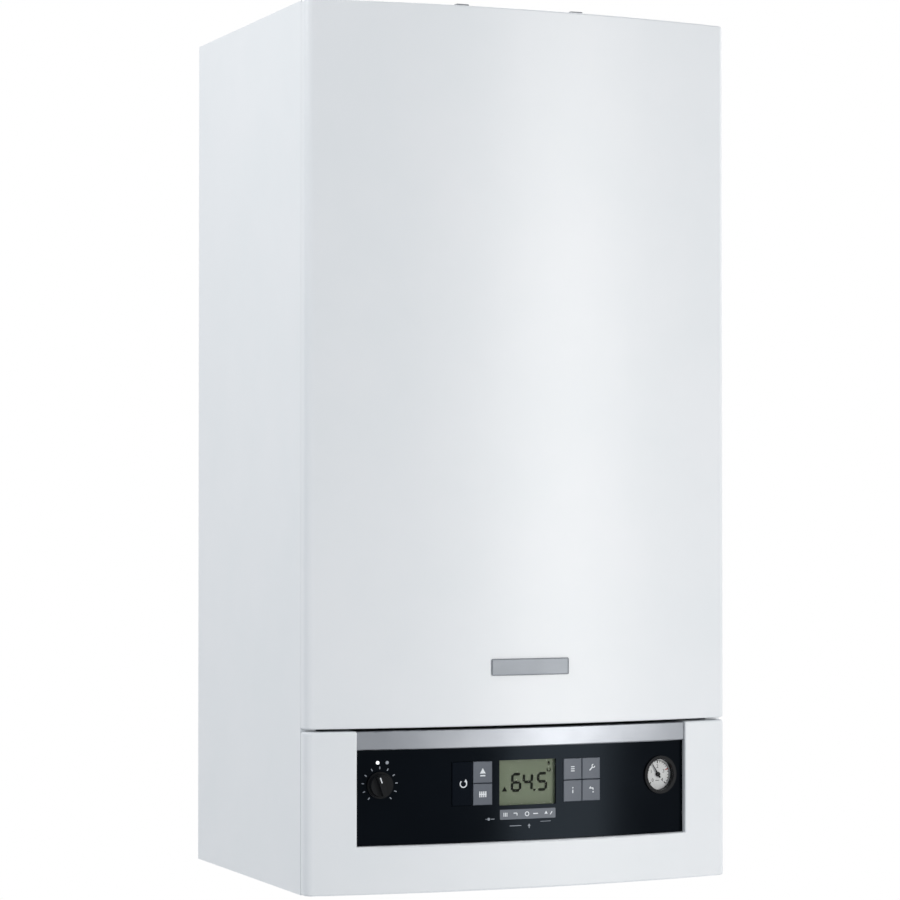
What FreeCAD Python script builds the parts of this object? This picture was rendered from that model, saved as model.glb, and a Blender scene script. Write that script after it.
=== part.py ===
"""Wall-hung gas condensing boiler as a parametric document, with one object for each separate piece.

The frame has +Z up, +X to the right of someone facing the front, and the wall at Y = 0.
The front faces -Y.
The origin is on the wall, midway between the two fixing holes of the wall bracket.
"""

import FreeCAD
import Part
import Sketcher

import math
import os
from collections import namedtuple
from types import SimpleNamespace

from FreeCAD import Placement, Rotation, Vector

# Driving dimensions, in millimetres, with angles in degrees and counts as plain numbers
SIZES = {
    # Casing
    "case_width": 440,
    "case_height": 840,
    "case_depth": 350,
    "front_rise": 29,
    "corner_radius": 9,
    "fold_depth": 6.4,
    "sheet": 1.2,
    "fold_radius": 2,
    "side_flange": 15,
    "top_skirt": 15,
    "cover_gap": 0.4,
    "lower_gap": 0.8,
    "seam_gap": 2.5,
    "overrun": 5,
    "fit_gap": 0.3,
    # Rear frame, shelf and connection plate
    "wall_gap": 16,
    "frame_sheet": 1.5,
    "frame_return": 40,
    "bead_width": 26,
    "bead_gap": 85,
    "bead_rise": 6,
    "bead_spacing": 250,
    "bead_bottom": 110,
    "plate_height": 30,
    "plate_depth": 185,
    "plate_lip": 12,
    "ear_wall": 2.5,
    "ear_gap": 1,
    "ear_radius": 10,
    "ear_foot": 20,
    "shelf_height": 188.5,
    "shelf_lip": 22,
    # Wall bracket
    "hang_drop": 125,
    "bracket_length": 340,
    "bracket_height": 50,
    "bracket_sheet": 3,
    "bracket_hole_inset": 25,
    "bracket_hole_radius": 4.5,
    "hook_spacing": 200,
    "hook_width": 50,
    "hook_lip": 8,
    "hook_gap": 0.5,
    "slot_play": 2,
    # Front cover
    "seal_width": 9,
    "seal_depth": 5,
    "catch_offset": 60,
    "catch_width": 12,
    "catch_height": 5,
    "catch_reach": 11,
    "catch_foot": 16,
    "catch_slope": 5,
    # Lower panel, fascia and trim strip
    "lower_height": 153,
    "panel_wall": 2.5,
    "panel_edge": 2.2,
    "window_side": 48.5,
    "window_edge": 1.6,
    "chin_height": 45,
    "rim_depth": 10,
    "recess": 6,
    "fascia_wall": 3,
    "fascia_height": 89.5,
    "strip_inset": 2.5,
    "strip_wall": 6,
    "strip_edge": 1.4,
    # Control box and its hinge
    "box_side": 24,
    "box_bottom": 4,
    "box_top": 148,
    "box_wall": 2.5,
    "box_tail": 10,
    "box_edge": 6,
    "hinge_back": 205,
    "hinge_height": 12,
    "pin_radius": 4,
    "pin_play": 0.06,
    "pin_tail": 6,
    "pin_nose": 1,
    # Keys and display
    "keys_bottom": 80,
    "keys_height": 42,
    "keys_inner": 37,
    "key_width": 20,
    "reset_width": 21,
    "key_proud": 1.2,
    "key_travel": 1.2,
    "key_edge": 0.6,
    "key_lip": 1.8,
    "key_lip_wall": 1.4,
    "display_width": 59,
    "display_height": 43,
    "display_bottom": 79,
    "lens_wall": 1.5,
    "lens_gap": 0.2,
    "module_margin": 1.5,
    "module_rim": 2.5,
    "module_step": 0.5,
    "board_setback": 18,
    "board_wall": 1.6,
    "board_share": 0.56,
    "board_height": 66,
    "board_bottom": 68,
    "board_post_radius": 3,
    "board_post_inset": 6,
    "switch_size": 6,
    "switch_height": 4,
    "plug_width": 34,
    "plug_height": 12,
    "plug_depth": 8,
    "lamp_inset": 21.5,
    "lamp_pitch": 9,
    "lamp_height": 123,
    "lamp_radius": 1.6,
    "lamp_length": 5,
    "lamp_proud": 0.5,
    # Selector knob and its switch
    "knob_inset": 23.5,
    "dial_height": 102,
    "knob_gap": 0.4,
    "skirt_radius": 12.5,
    "skirt_rise": 2.5,
    "cap_radius": 11,
    "cap_taper": 0.8,
    "cap_rise": 6,
    "grip_width": 5,
    "grip_length": 19,
    "grip_rise": 5,
    "knob_angle": 18,
    "shaft_radius": 3,
    "shaft_length": 11,
    "shaft_play": 0.06,
    "selector_size": 24,
    "selector_depth": 12,
    "bush_radius": 5,
    "bush_play": 0.8,
    # Pressure gauge
    "gauge_inset": 26.5,
    "gauge_radius": 16.6,
    "gauge_play": 1,
    "gauge_depth": 14,
    "gauge_bore": 15.2,
    "bezel_radius": 18.4,
    "bezel_gap": 0.2,
    "bezel_rise": 1.6,
    "dial_floor": 5,
    "dial_wall": 0.6,
    "dial_play": 0.1,
    "spindle_radius": 0.8,
    "spindle_play": 0.05,
    "spindle_depth": 3,
    "needle_hub": 2.2,
    "needle_rise": 1.6,
    "needle_length": 12,
    "needle_tail": 4,
    "needle_width": 1.6,
    "needle_wall": 0.6,
    "needle_angle": 33,
    "glass_wall": 1,
    "glass_inset": 0.3,
    # Pipe connections at the bottom
    "stub_side": 90,
    "stub_back": 108,
    "gas_back": 163,
    "stub_bottom": 2,
    "stub_top": 62,
    "stub_collar": 5,
    "stub_collar_rise": 2,
    "stub_nut_rise": 9,
    "heating_pipe": 11,
    "water_pipe": 7.5,
    "gas_tail": 9,
    "pipe_wall": 1,
    # Heat exchanger, burner and hood
    "exchanger_offset": 10,
    "exchanger_side": 70,
    "exchanger_depth": 140,
    "exchanger_back": 90,
    "exchanger_headroom": 545,
    "exchanger_edge": 12,
    "chamber_radius": 42,
    "chamber_depth": 130,
    "rib_count": 9,
    "rib_pitch_share": 0.075,
    "rib_wall": 6,
    "rib_rise": 6,
    "rib_start_share": 0.27,
    "rib_margin": 14,
    "burner_radius": 32,
    "burner_length": 108,
    "burner_wall": 1.5,
    "burner_flange": 50,
    "burner_flange_wall": 2,
    "burner_play": 0.3,
    "hood_flange": 6,
    "hood_height": 50,
    "hood_margin": 6,
    "hood_wall": 3.5,
    "hood_edge": 5,
    "electrode_inset": 21,
    "electrode_back": 200,
    "electrode_pitch": 22,
    "electrode_radius": 4.5,
    "electrode_height": 24,
    "electrode_flange": 7.5,
    "electrode_flange_wall": 3,
    "electrode_pin": 1.2,
    "electrode_play": 1.5,
    "electrode_reach": 36,
    # Flue and condensate
    "flue_side": 90,
    "flue_back": 140,
    "flue_bore": 40,
    "flue_wall": 2,
    "duct_radius": 41,
    "flue_headroom": 490,
    "flue_bend": 75,
    "collar_above": 25,
    "collar_below": 20,
    "collar_wall": 3,
    "collar_flange": 82,
    "collar_flange_wall": 3,
    "flue_opening": 72,
    "air_slot_count": 10,
    "air_slot_inner": 52,
    "air_slot_outer": 68,
    "air_slot_width": 15,
    "sump_height": 35,
    "sump_wall": 3,
    "sump_margin": 3,
    "trap_x": 48,
    "trap_back": 163,
    "trap_radius": 21,
    "trap_bottom": 46,
    "trap_neck": 12,
    "trap_shoulder": 168,
    "trap_tail": 8,
    "drain_nose": 26,
    "drain_step": 1,
    # Fan and gas mixer
    "fan_side": 115,
    "fan_back": 160,
    "fan_depth": 57,
    "fan_lift": 90,
    "scroll_inner": 58,
    "scroll_step": 6,
    "outlet_width": 44,
    "fan_wall": 2.5,
    "motor_plate": 3,
    "motor_radius": 36,
    "motor_depth": 34,
    "motor_edge": 5,
    "motor_shaft": 3,
    "motor_shaft_reach": 20,
    "impeller_radius": 50,
    "impeller_inner": 33,
    "impeller_depth": 38,
    "impeller_plate": 2,
    "impeller_gap": 4,
    "impeller_hub": 9,
    "blade_count": 20,
    "blade_wall": 1.4,
    "blade_sweep": 9,
    "inlet_radius": 28,
    "mixer_length": 52,
    "mixer_mouth": 36,
    "mixer_throat": 19,
    "mixer_wall": 2.5,
    "mixer_port": 8,
    "mixer_port_reach": 40,
    "mixer_port_back": 26,
    # Gas valve and gas pipes
    "valve_side": 65,
    "valve_back": 180,
    "valve_drop": 140,
    "valve_width": 84,
    "valve_depth": 80,
    "valve_height": 96,
    "valve_edge": 4,
    "coil_radius": 15,
    "coil_length": 22,
    "coil_pitch": 40,
    "gas_inlet_offset": 10,
    "gas_inlet_depth": 45,
    "gas_outlet_offset": 25,
    "gas_outlet_depth": 20,
    "feed_pipe": 6,
    "feed_rise": 60,
    "gas_run_height": 172,
    # Water circuit
    "flow_drop": 40,
    "pipe_bend": 19,
    "circuit_pipe": 9,
    "feed_bend": 14,
    "plate_stack_gap": 45,
    "plate_stack_back": 75,
    "plate_stack_depth": 65,
    "plate_stack_height": 68,
    "plate_stack_edge": 12,
    "plate_groove": 2,
    "plate_groove_deep": 2.5,
    "plate_pitch": 6,
    "plate_grooves": 9,
    "diverter_radius": 20,
    "diverter_height": 88,
    "diverter_neck": 12,
    "diverter_neck_rise": 12,
    "diverter_port": 9,
    "port_height": 38,
    "actuator_seat": 15,
    "actuator_seat_depth": 24,
    "actuator_radius": 19,
    "actuator_depth": 44,
    "actuator_edge": 4,
    "pump_radius": 40,
    "pump_back": 82,
    "pump_depth": 50,
    "pump_height": 112,
    "pump_port": 13,
    "pump_port_top": 156,
    "pump_motor_radius": 37,
    "pump_motor_depth": 48,
    "pump_motor_edge": 6,
    "vent_offset": 29,
    "vent_seat": 148,
    "vent_boss": 8,
    "vent_radius": 10,
    "vent_height": 32,
    "vent_cap": 4,
    "vent_cap_rise": 5,
    "relief_offset": 57,
    "relief_radius": 11,
    "relief_depth": 34,
    "relief_back": 96,
    "relief_tail": 7,
    "relief_stem": 4,
    "relief_stem_reach": 8,
    "relief_knob_radius": 13,
    "relief_knob_depth": 14,
    "relief_knob_gap": 0.5,
    "knob_flutes": 8,
    "flute_radius": 2.4,
    "return_run_height": 176,
    "return_front": 256,
    "return_x": 40,
    "return_height": 255,
    # Expansion vessel
    "vessel_side": 55,
    "vessel_headroom": 450,
    "vessel_depth": 58,
    "vessel_bottom": 310,
    "vessel_corner": 60,
    "vessel_edge": 18,
    "vessel_wall": 1.5,
    "vessel_seam": 5,
    "vessel_seam_wall": 4,
}

SIDES = (-1, 1)
CCW = "counter-clockwise"
CW = "clockwise"
FULL_TURN = 360
TOLERANCE = 1e-4

Circle = namedtuple("Circle", "x y radius")

document = FreeCAD.newDocument("wall_boiler")
sheet = document.addObject("Spreadsheet::Sheet", "Sizes")


class Size:
    """A size of the sheet, or one worked out from such sizes, with the formula that gives it."""

    def __init__(self, value, formula):
        self.value = value
        self.formula = formula

    def __add__(self, other):
        other = as_size(other)
        return Size(self.value + other.value, f"({self.formula} + {other.formula})")

    def __sub__(self, other):
        other = as_size(other)
        return Size(self.value - other.value, f"({self.formula} - {other.formula})")

    def __mul__(self, other):
        other = as_size(other)
        return Size(self.value * other.value, f"({self.formula} * {other.formula})")

    def __rmul__(self, other):
        return self * other

    def __truediv__(self, other):
        other = as_size(other)
        return Size(self.value / other.value, f"({self.formula} / {other.formula})")

    def __neg__(self):
        return Size(-self.value, f"(-1 * {self.formula})")

    def root(self):
        return Size(math.sqrt(self.value), f"sqrt({self.formula})")

    def cosine(self):
        return Size(math.cos(math.radians(self.value)), f"cos({self.formula} * 1 deg)")

    def sine(self):
        return Size(math.sin(math.radians(self.value)), f"sin({self.formula} * 1 deg)")


def as_size(number):
    """A Size as it is, or a plain number as a Size."""
    return number if isinstance(number, Size) else Size(number, repr(number))


ZERO = as_size(0)


def fill_sheet():
    """Writes the driving dimensions to the sheet and returns them as Sizes by name."""
    for row, (name, value) in enumerate(SIZES.items(), 1):
        sheet.set(f"A{row}", name)
        sheet.set(f"B{row}", str(value))
        sheet.setAlias(f"B{row}", name)
    document.recompute()
    return SimpleNamespace(**{name: Size(float(sheet.get(name)), f"Sizes.{name}") for name in SIZES})


s = fill_sheet()

# Places and sizes that follow the casing, so that what is in it keeps its distance from the walls
hang_height = s.case_height - s.hang_drop
side_length = s.case_depth - s.front_rise - s.fold_depth
half_width = s.case_width / 2
half_window = half_width - s.window_side
box_half_width = half_width - s.box_side
knob_offset = half_window - s.knob_inset
gauge_offset = half_window - s.gauge_inset
lamp_offset = half_window - s.lamp_inset
board_width = half_window * 2 * s.board_share
heating_x = half_width - s.stub_side
stub_spacing = heating_x / 2
plate_stack_half = heating_x - s.plate_stack_gap
fan_offset = half_width - s.fan_side
valve_offset = half_width - s.valve_side
flue_offset = half_width - s.flue_side
exchanger_width = half_width - s.exchanger_side
exchanger_height = s.case_height - s.exchanger_headroom
flue_rise = s.case_height - s.flue_headroom
vessel_width = s.case_width - s.vessel_side * 2
vessel_height = s.case_height - s.vessel_headroom


# Bodies, sketches and features

def bind(item, name, size):
    """Ties a property of a document object to a formula of the sheet."""
    item.setExpression(name, as_size(size).formula)


def place(item, x, depth, height):
    """Puts an object at x, depth in front of the wall, and height above the bottom of the casing."""
    bind(item, "Placement.Base.x", x)
    bind(item, "Placement.Base.y", -depth)
    bind(item, "Placement.Base.z", height - hang_height)


def body_at(name, x=ZERO, depth=ZERO, height=ZERO):
    """A new body at a place of the casing, measured from the middle of its bottom edge on the wall."""
    body = document.addObject("PartDesign::Body", name)
    body.Label = name
    place(body, x, depth, height)
    return body


def origin_feature(body, role):
    """One of a body's own origin planes or axes."""
    return next(feature for feature in body.Origin.OriginFeatures if feature.Role == role)


def arc_between(start, end, radius, turn):
    """The shorter arc of that radius from start to end, turning left or right."""
    chord = end - start
    left = Vector(-chord.y, chord.x, 0).normalize()
    height = math.sqrt(max(radius**2 - (chord.Length / 2) ** 2, 0))
    centre = (start + end) / 2 + left * (height if turn == CCW else -height)
    first, last = (start, end) if turn == CCW else (end, start)
    angles = [math.atan2(point.y - centre.y, point.x - centre.x) for point in (first, last)]
    if angles[1] < angles[0]:
        angles[1] += 2 * math.pi
    return Part.ArcOfCircle(Part.Circle(centre, Vector(0, 0, 1), radius), *angles)


def draw_path(sketch, path):
    """Draws a closed outline of lines and arcs.

    A point is (x, y), or (x, y, radius, turn) where an arc ends there.
    """
    points = [tuple(as_size(value) for value in point[:2]) for point in path]
    arcs = [point[2:] for point in path]
    ends = []
    edges = []
    first = sketch.GeometryCount
    for index in range(len(path)):
        after = (index + 1) % len(path)
        start, end = (Vector(points[i][0].value, points[i][1].value, 0) for i in (index, after))
        if arcs[after]:
            radius, turn = arcs[after]
            edges.append(arc_between(start, end, radius.value, turn))
            ends.append((1, 2) if turn == CCW else (2, 1))
        else:
            edges.append(Part.LineSegment(start, end))
            ends.append((1, 2))
    sketch.addGeometry(edges, False)
    for index in range(len(path)):
        after = (index + 1) % len(path)
        edge, following = first + index, first + after
        link = Sketcher.Constraint("Coincident", edge, ends[index][1], following, ends[after][0])
        sketch.addConstraint(link)
        for kind, size in zip(("DistanceX", "DistanceY"), points[index]):
            fix(sketch, Sketcher.Constraint(kind, -1, 1, edge, ends[index][0], size.value), size)
        if arcs[after]:
            fix(sketch, Sketcher.Constraint("Radius", edge, arcs[after][0].value), arcs[after][0])


def draw_circle(sketch, circle):
    """Draws a full circle with its centre and radius tied to the sheet."""
    x, y, radius = (as_size(value) for value in circle)
    edge = sketch.GeometryCount
    sketch.addGeometry(Part.Circle(Vector(x.value, y.value, 0), Vector(0, 0, 1), radius.value), False)
    fix(sketch, Sketcher.Constraint("DistanceX", -1, 1, edge, 3, x.value), x)
    fix(sketch, Sketcher.Constraint("DistanceY", -1, 1, edge, 3, y.value), y)
    fix(sketch, Sketcher.Constraint("Radius", edge, radius.value), radius)


def fix(sketch, constraint, size):
    """Adds a constraint and ties its value to the formula of a size."""
    number = sketch.addConstraint(constraint)
    name = f"size_{number}"
    sketch.renameConstraint(number, name)
    bind(sketch, f"Constraints.{name}", size)


def sketch_on(body, plane, outlines, offset):
    """A sketch of closed outlines on a plane of the body: XY from above, XZ the front, YZ the right."""
    sketch = body.newObject("Sketcher::SketchObject", "Outline")
    sketch.AttachmentSupport = [(origin_feature(body, plane + "_Plane"), "")]
    sketch.MapMode = "FlatFace"
    bind(sketch, "AttachmentOffset.Base.z", offset)
    for outline in outlines:
        draw = draw_circle if isinstance(outline, Circle) else draw_path
        draw(sketch, outline)
    return sketch


def pad(body, plane, outlines, length, offset=ZERO, reverse=False):
    """Adds material up, forwards or to the right of the plane, or the other way in reverse."""
    feature = body.newObject("PartDesign::Pad", "Pad")
    feature.Profile = sketch_on(body, plane, outlines, offset)
    bind(feature, "Length", length)
    feature.Reversed = reverse
    return feature


def cut(body, plane, outlines, length, offset=ZERO, reverse=False):
    """Takes material away down, backwards or to the left of the plane, or the other way in reverse."""
    document.recompute()
    before = body.Tip.Shape.Volume
    feature = body.newObject("PartDesign::Pocket", "Pocket")
    feature.Profile = sketch_on(body, plane, outlines, offset)
    bind(feature, "Length", length)
    feature.Reversed = reverse
    document.recompute()
    if feature.Shape.Volume > before - TOLERANCE:
        raise RuntimeError(f"a cut in {body.Label} takes nothing away")
    return feature


def revolve(body, plane, outline):
    """A solid of revolution about the sketch's upright axis."""
    feature = body.newObject("PartDesign::Revolution", "Revolution")
    feature.Profile = sketch_on(body, plane, [outline], ZERO)
    feature.ReferenceAxis = (feature.Profile[0], ["V_Axis"])
    feature.Angle = FULL_TURN
    return feature


def fillet(body, radius, chosen):
    """Rounds the edges for which chosen(edge) is true."""
    document.recompute()
    base = body.Tip
    names = [f"Edge{number}" for number, edge in enumerate(base.Shape.Edges, 1) if chosen(edge)]
    feature = body.newObject("PartDesign::Fillet", "Fillet")
    feature.Base = (base, names)
    bind(feature, "Radius", radius)
    document.recompute()
    return feature


def pattern_round(body, feature, axis, count):
    """Repeats a feature evenly round one of the body's axes."""
    pattern = body.newObject("PartDesign::PolarPattern", "Pattern")
    pattern.Originals = [feature]
    pattern.Axis = (origin_feature(body, axis), [""])
    pattern.Angle = FULL_TURN
    bind(pattern, "Occurrences", count)
    body.Tip = pattern
    return pattern


def pattern_along(body, feature, axis, pitch, count):
    """Repeats a feature at a steady pitch along one of the body's axes."""
    pattern = body.newObject("PartDesign::LinearPattern", "Pattern")
    pattern.Originals = [feature]
    pattern.Direction = (origin_feature(body, axis), [""])
    bind(pattern, "Length", pitch * (count - 1))
    bind(pattern, "Occurrences", count)
    body.Tip = pattern
    return pattern


def group(name, members):
    """Several separate solids as one named piece."""
    compound = document.addObject("Part::Compound", name)
    compound.Label = name
    compound.Links = members
    return compound


def mirrored(body):
    """The same piece on the other side of the middle plane."""
    copy = document.addObject("Part::Mirroring", body.Name + "_mirrored")
    copy.Source = body
    copy.Normal = Vector(1, 0, 0)
    copy.Base = Vector(0, 0, 0)
    return copy


def rectangle(left, low, right, high):
    """A rectangle by its two corners."""
    return [(left, low), (right, low), (right, high), (left, high)]


def rounded_rectangle(left, low, right, high, radius):
    """A rectangle with rounded corners, whose first point ends the last corner's arc."""
    return [
        (left + radius, low, radius, CCW),
        (right - radius, low),
        (right, low + radius, radius, CCW),
        (right, high - radius),
        (right - radius, high, radius, CCW),
        (left + radius, high),
        (left, high - radius, radius, CCW),
        (left, low + radius),
    ]


def middle(edge):
    """The point halfway along an edge."""
    return edge.valueAt((edge.FirstParameter + edge.LastParameter) / 2)


def near(value, size):
    """Whether a measured value is the value of a size."""
    return abs(value - as_size(size).value) < TOLERANCE


# The bowed front, which the cover, the lower panel and everything in its window follow

half_chord = half_width - s.corner_radius
bow_radius = (half_chord * half_chord + s.front_rise * s.front_rise - s.corner_radius * s.corner_radius) / (
    (s.front_rise - s.corner_radius) * 2
)
bow_centre = bow_radius - s.case_depth
corner_line = s.front_rise - s.case_depth


def bow_y(x, inset):
    """Where the front, drawn in by inset, lies at x."""
    radius = bow_radius - inset
    return bow_centre - (radius * radius - x * x).root()


def bow_end(inset):
    """The point where the bow, drawn in by inset, meets the corner bend."""
    share = (bow_radius - inset) / (bow_radius - s.corner_radius)
    return half_chord * share, bow_centre + (corner_line - bow_centre) * share


def front_outline(inset, rear):
    """The plan of the front with its corner bends, drawn in by inset and closed at depth rear."""
    half = half_width - inset
    end_x, end_y = bow_end(inset)
    bend = s.corner_radius - inset
    return [
        (-half, -rear),
        (-half, corner_line),
        (-end_x, end_y, bend, CCW),
        (end_x, end_y, bow_radius - inset, CCW),
        (half, corner_line, bend, CCW),
        (half, -rear),
    ]


def bow_band(left, right, front, back):
    """The plan of a curved strip between two insets of the front."""
    return [
        (left, bow_y(left, front)),
        (right, bow_y(right, front), bow_radius - front, CCW),
        (right, bow_y(right, back)),
        (left, bow_y(left, back), bow_radius - back, CW),
    ]


def bow_block(left, right, front, rear):
    """The plan of a block with a bowed front and a flat back at depth rear."""
    return [
        (left, bow_y(left, front)),
        (right, bow_y(right, front), bow_radius - front, CCW),
        (right, -rear),
        (left, -rear),
    ]


def body_on_fascia(name, side, offset, height):
    """A body whose -Y axis stands square on the fascia's curved front, at offset from the middle."""
    radius = bow_radius - s.recess
    body = document.addObject("PartDesign::Body", name)
    body.Label = name
    body.Placement = Placement(Vector(), Rotation(Vector(0, 0, side), 1))
    place(body, offset * side, -bow_y(offset, s.recess), height)
    body.setExpression("Placement.Rotation.Angle", f"asin({(offset / radius).formula})")
    return body


# Wall bracket, frame and casing

def wall_bracket():
    """The plate screwed to the wall, with two up-turned hooks that carry the boiler."""
    body = body_at("wall_bracket", height=hang_height)
    half = s.bracket_length / 2
    top = s.bracket_height / 2
    holes = [Circle((half - s.bracket_hole_inset) * side, ZERO, s.bracket_hole_radius) for side in SIDES]
    pad(body, "XZ", [rectangle(-half, -top, half, top), *holes], s.bracket_sheet)
    outside = s.wall_gap + s.frame_sheet + s.hook_gap + s.bracket_sheet
    inside = outside - s.bracket_sheet
    hook = [
        (-s.bracket_sheet, top - s.bracket_sheet),
        (-outside, top - s.bracket_sheet),
        (-outside, top + s.hook_lip),
        (-inside, top + s.hook_lip),
        (-inside, top),
        (-s.bracket_sheet, top),
    ]
    for side in SIDES:
        pad(body, "YZ", [hook], s.hook_width, s.hook_spacing / 2 * side - s.hook_width / 2)
    return body


def rear_frame():
    """The folded back of the boiler, hung on the bracket by two slots and stiffened by two beads."""
    body = body_at("rear_frame")
    half = half_width - s.sheet
    front = s.wall_gap + s.frame_sheet
    fold = half - s.frame_sheet
    edge = s.wall_gap + s.frame_return
    profile = [
        (-half, -s.wall_gap),
        (-half, -edge),
        (-fold, -edge),
        (-fold, -front),
        (fold, -front),
        (fold, -edge),
        (half, -edge),
        (half, -s.wall_gap),
    ]
    pad(body, "XY", [profile], s.case_height)
    beads = []
    for side in SIDES:
        left = s.bead_spacing / 2 * side - s.bead_width / 2
        top = hang_height - s.bead_gap
        right = left + s.bead_width
        beads.append(rounded_rectangle(left, s.bead_bottom, right, top, s.bead_width / 2 - s.sheet))
    pad(body, "XZ", beads, s.bead_rise, s.wall_gap, reverse=True)
    notches = []
    for side in SIDES:
        near_x, far_x = fold * side, (half + s.overrun) * side
        notches.append(rectangle(near_x, -(edge + s.overrun), far_x, -front))
    cut(body, "XY", notches, s.top_skirt, s.case_height)
    slots = []
    for side in SIDES:
        centre = s.hook_spacing / 2 * side
        reach = s.hook_width / 2 + s.slot_play
        top = hang_height + s.bracket_height / 2
        low = top - s.bracket_sheet - s.hook_lip - s.slot_play
        slots.append(rectangle(centre - reach, low, centre + reach, top))
    cut(body, "XZ", slots, s.frame_sheet + s.overrun * 2, front + s.overrun)
    return body


def side_panel(name, side):
    """A flat side of the casing with a narrow flange folded inwards at the wall and at the front."""
    body = body_at(name)
    outer = half_width * side
    inner = (half_width - s.sheet) * side
    lip = (half_width - s.side_flange) * side
    front = side_length
    profile = [
        (outer, ZERO),
        (outer, -front),
        (lip, -front),
        (lip, s.sheet - front),
        (inner, s.sheet - front),
        (inner, -s.sheet),
        (lip, -s.sheet),
        (lip, ZERO),
    ]
    pad(body, "XY", [profile], s.case_height)
    return body


def top_panel():
    """The shallow lid between the side panels, with the opening for the flue collar."""
    body = body_at("top_panel")
    half = half_width - s.sheet
    front = side_length - s.sheet
    back = s.wall_gap + s.frame_sheet
    low = s.case_height - s.top_skirt
    pad(body, "XY", [rectangle(-half, -front, half, -back)], s.top_skirt, low)
    inside = rectangle(s.sheet - half, s.sheet - front, half - s.sheet, -(back + s.sheet))
    cut(body, "XY", [inside], s.top_skirt - s.sheet, low, reverse=True)
    opening = Circle(ZERO, -s.flue_back, s.flue_opening)
    cut(body, "XY", [opening], s.sheet + s.overrun * 2, s.case_height + s.overrun)
    return body


def connection_plate():
    """The plate for the pipe connections, with two ears at its front for the hinge of the control unit."""
    body = body_at("connection_plate")
    half = half_width - s.sheet - s.frame_sheet
    back = s.wall_gap + s.frame_sheet
    holes = [Circle(x, -depth, radius) for x, depth, radius in stub_places()]
    holes.append(Circle(-s.trap_x, -s.trap_back, s.trap_tail + s.fit_gap))
    holes.append(Circle(relief_x, -s.stub_back, s.relief_tail + s.fit_gap))
    floor = rectangle(-half, -s.plate_depth, half, -back)
    pad(body, "XY", [floor, *holes], s.frame_sheet, s.plate_height)
    lip = rectangle(-half, -s.plate_depth, half, s.frame_sheet - s.plate_depth)
    pad(body, "XY", [lip], s.plate_lip, s.plate_height + s.frame_sheet)
    foot = s.plate_depth - s.ear_foot
    nose = s.hinge_back + s.ear_radius
    low = s.hinge_height - s.ear_radius
    ear = [
        (-foot, s.plate_height),
        (-nose, s.plate_height),
        (-nose, s.hinge_height),
        (-s.hinge_back, low, s.ear_radius, CCW),
        (-foot, low),
    ]
    inner = box_half_width + s.ear_gap
    pad(body, "YZ", [ear], s.ear_wall, inner)
    pad(body, "YZ", [ear], s.ear_wall, -inner, reverse=True)
    pivot = Circle(-s.hinge_back, s.hinge_height, s.pin_radius + s.pin_play)
    cut(body, "YZ", [pivot], s.case_width, half_width)
    return body


def support_shelf():
    """The shelf on the rear frame that carries the condensate sump and the heat exchanger."""
    body = body_at("support_shelf")
    back = s.wall_gap + s.frame_sheet
    left = sump_left - s.sump_margin
    right = sump_right + s.sump_margin
    front = s.exchanger_back + s.exchanger_depth
    neck = Circle(-s.trap_x, -s.trap_back, s.trap_neck + s.fit_gap)
    pad(body, "XY", [rectangle(left, -front, right, -back), neck], s.frame_sheet, s.shelf_height)
    lip = rectangle(left, -(back + s.frame_sheet), right, -back)
    pad(body, "XY", [lip], s.shelf_lip, s.shelf_height, reverse=True)
    return body


# Front cover

cover_bottom = s.lower_height + s.seam_gap
cover_rear = side_length + s.cover_gap


def front_cover():
    """The bowed front, folded back at the sides, top and bottom, as one shell."""
    body = body_at("front_cover")
    height = s.case_height - cover_bottom
    pad(body, "XY", [front_outline(ZERO, cover_rear)], height, cover_bottom)
    hollow = front_outline(s.sheet, cover_rear - s.overrun)
    cut(body, "XY", [hollow], height - s.sheet * 2, cover_bottom + s.sheet, reverse=True)

    def is_fold(edge):
        point = middle(edge)
        level = near(point.z, s.case_height) or near(point.z, cover_bottom)
        return level and near(edge.BoundBox.ZLength, ZERO) and not near(point.y, -cover_rear)

    fillet(body, s.fold_radius, is_fold)
    return body


def cover_seal():
    """The soft seal round the inside of the cover's open back."""
    body = body_at("cover_seal")
    half = half_width - s.sheet
    low = cover_bottom + s.sheet
    top = s.case_height - s.sheet
    outer = rectangle(-half, low, half, top)
    inner = rectangle(s.seal_width - half, low + s.seal_width, half - s.seal_width, top - s.seal_width)
    pad(body, "XZ", [outer, inner], s.seal_depth, cover_rear)
    return body


def cover_catches():
    """Two small catches on the top of the cover that lie over the front edge of the lid."""
    body = body_at("cover_catch")
    seat = cover_rear
    base = s.case_height
    profile = [
        (-(seat + s.catch_foot), base),
        (s.catch_slope - (seat + s.catch_foot), base + s.catch_height),
        (s.catch_reach - seat, base + s.catch_height),
        (s.catch_reach - seat, base + s.fit_gap),
        (-seat, base + s.fit_gap),
        (-seat, base),
    ]
    pad(body, "YZ", [profile], s.catch_width, s.catch_offset - s.catch_width / 2)
    return group("cover_catches", [body, mirrored(body)])


# Control unit

panel_rear = side_length + s.lower_gap
fascia_top = s.chin_height + s.fascia_height
board_front = s.case_depth - s.board_setback


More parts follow.
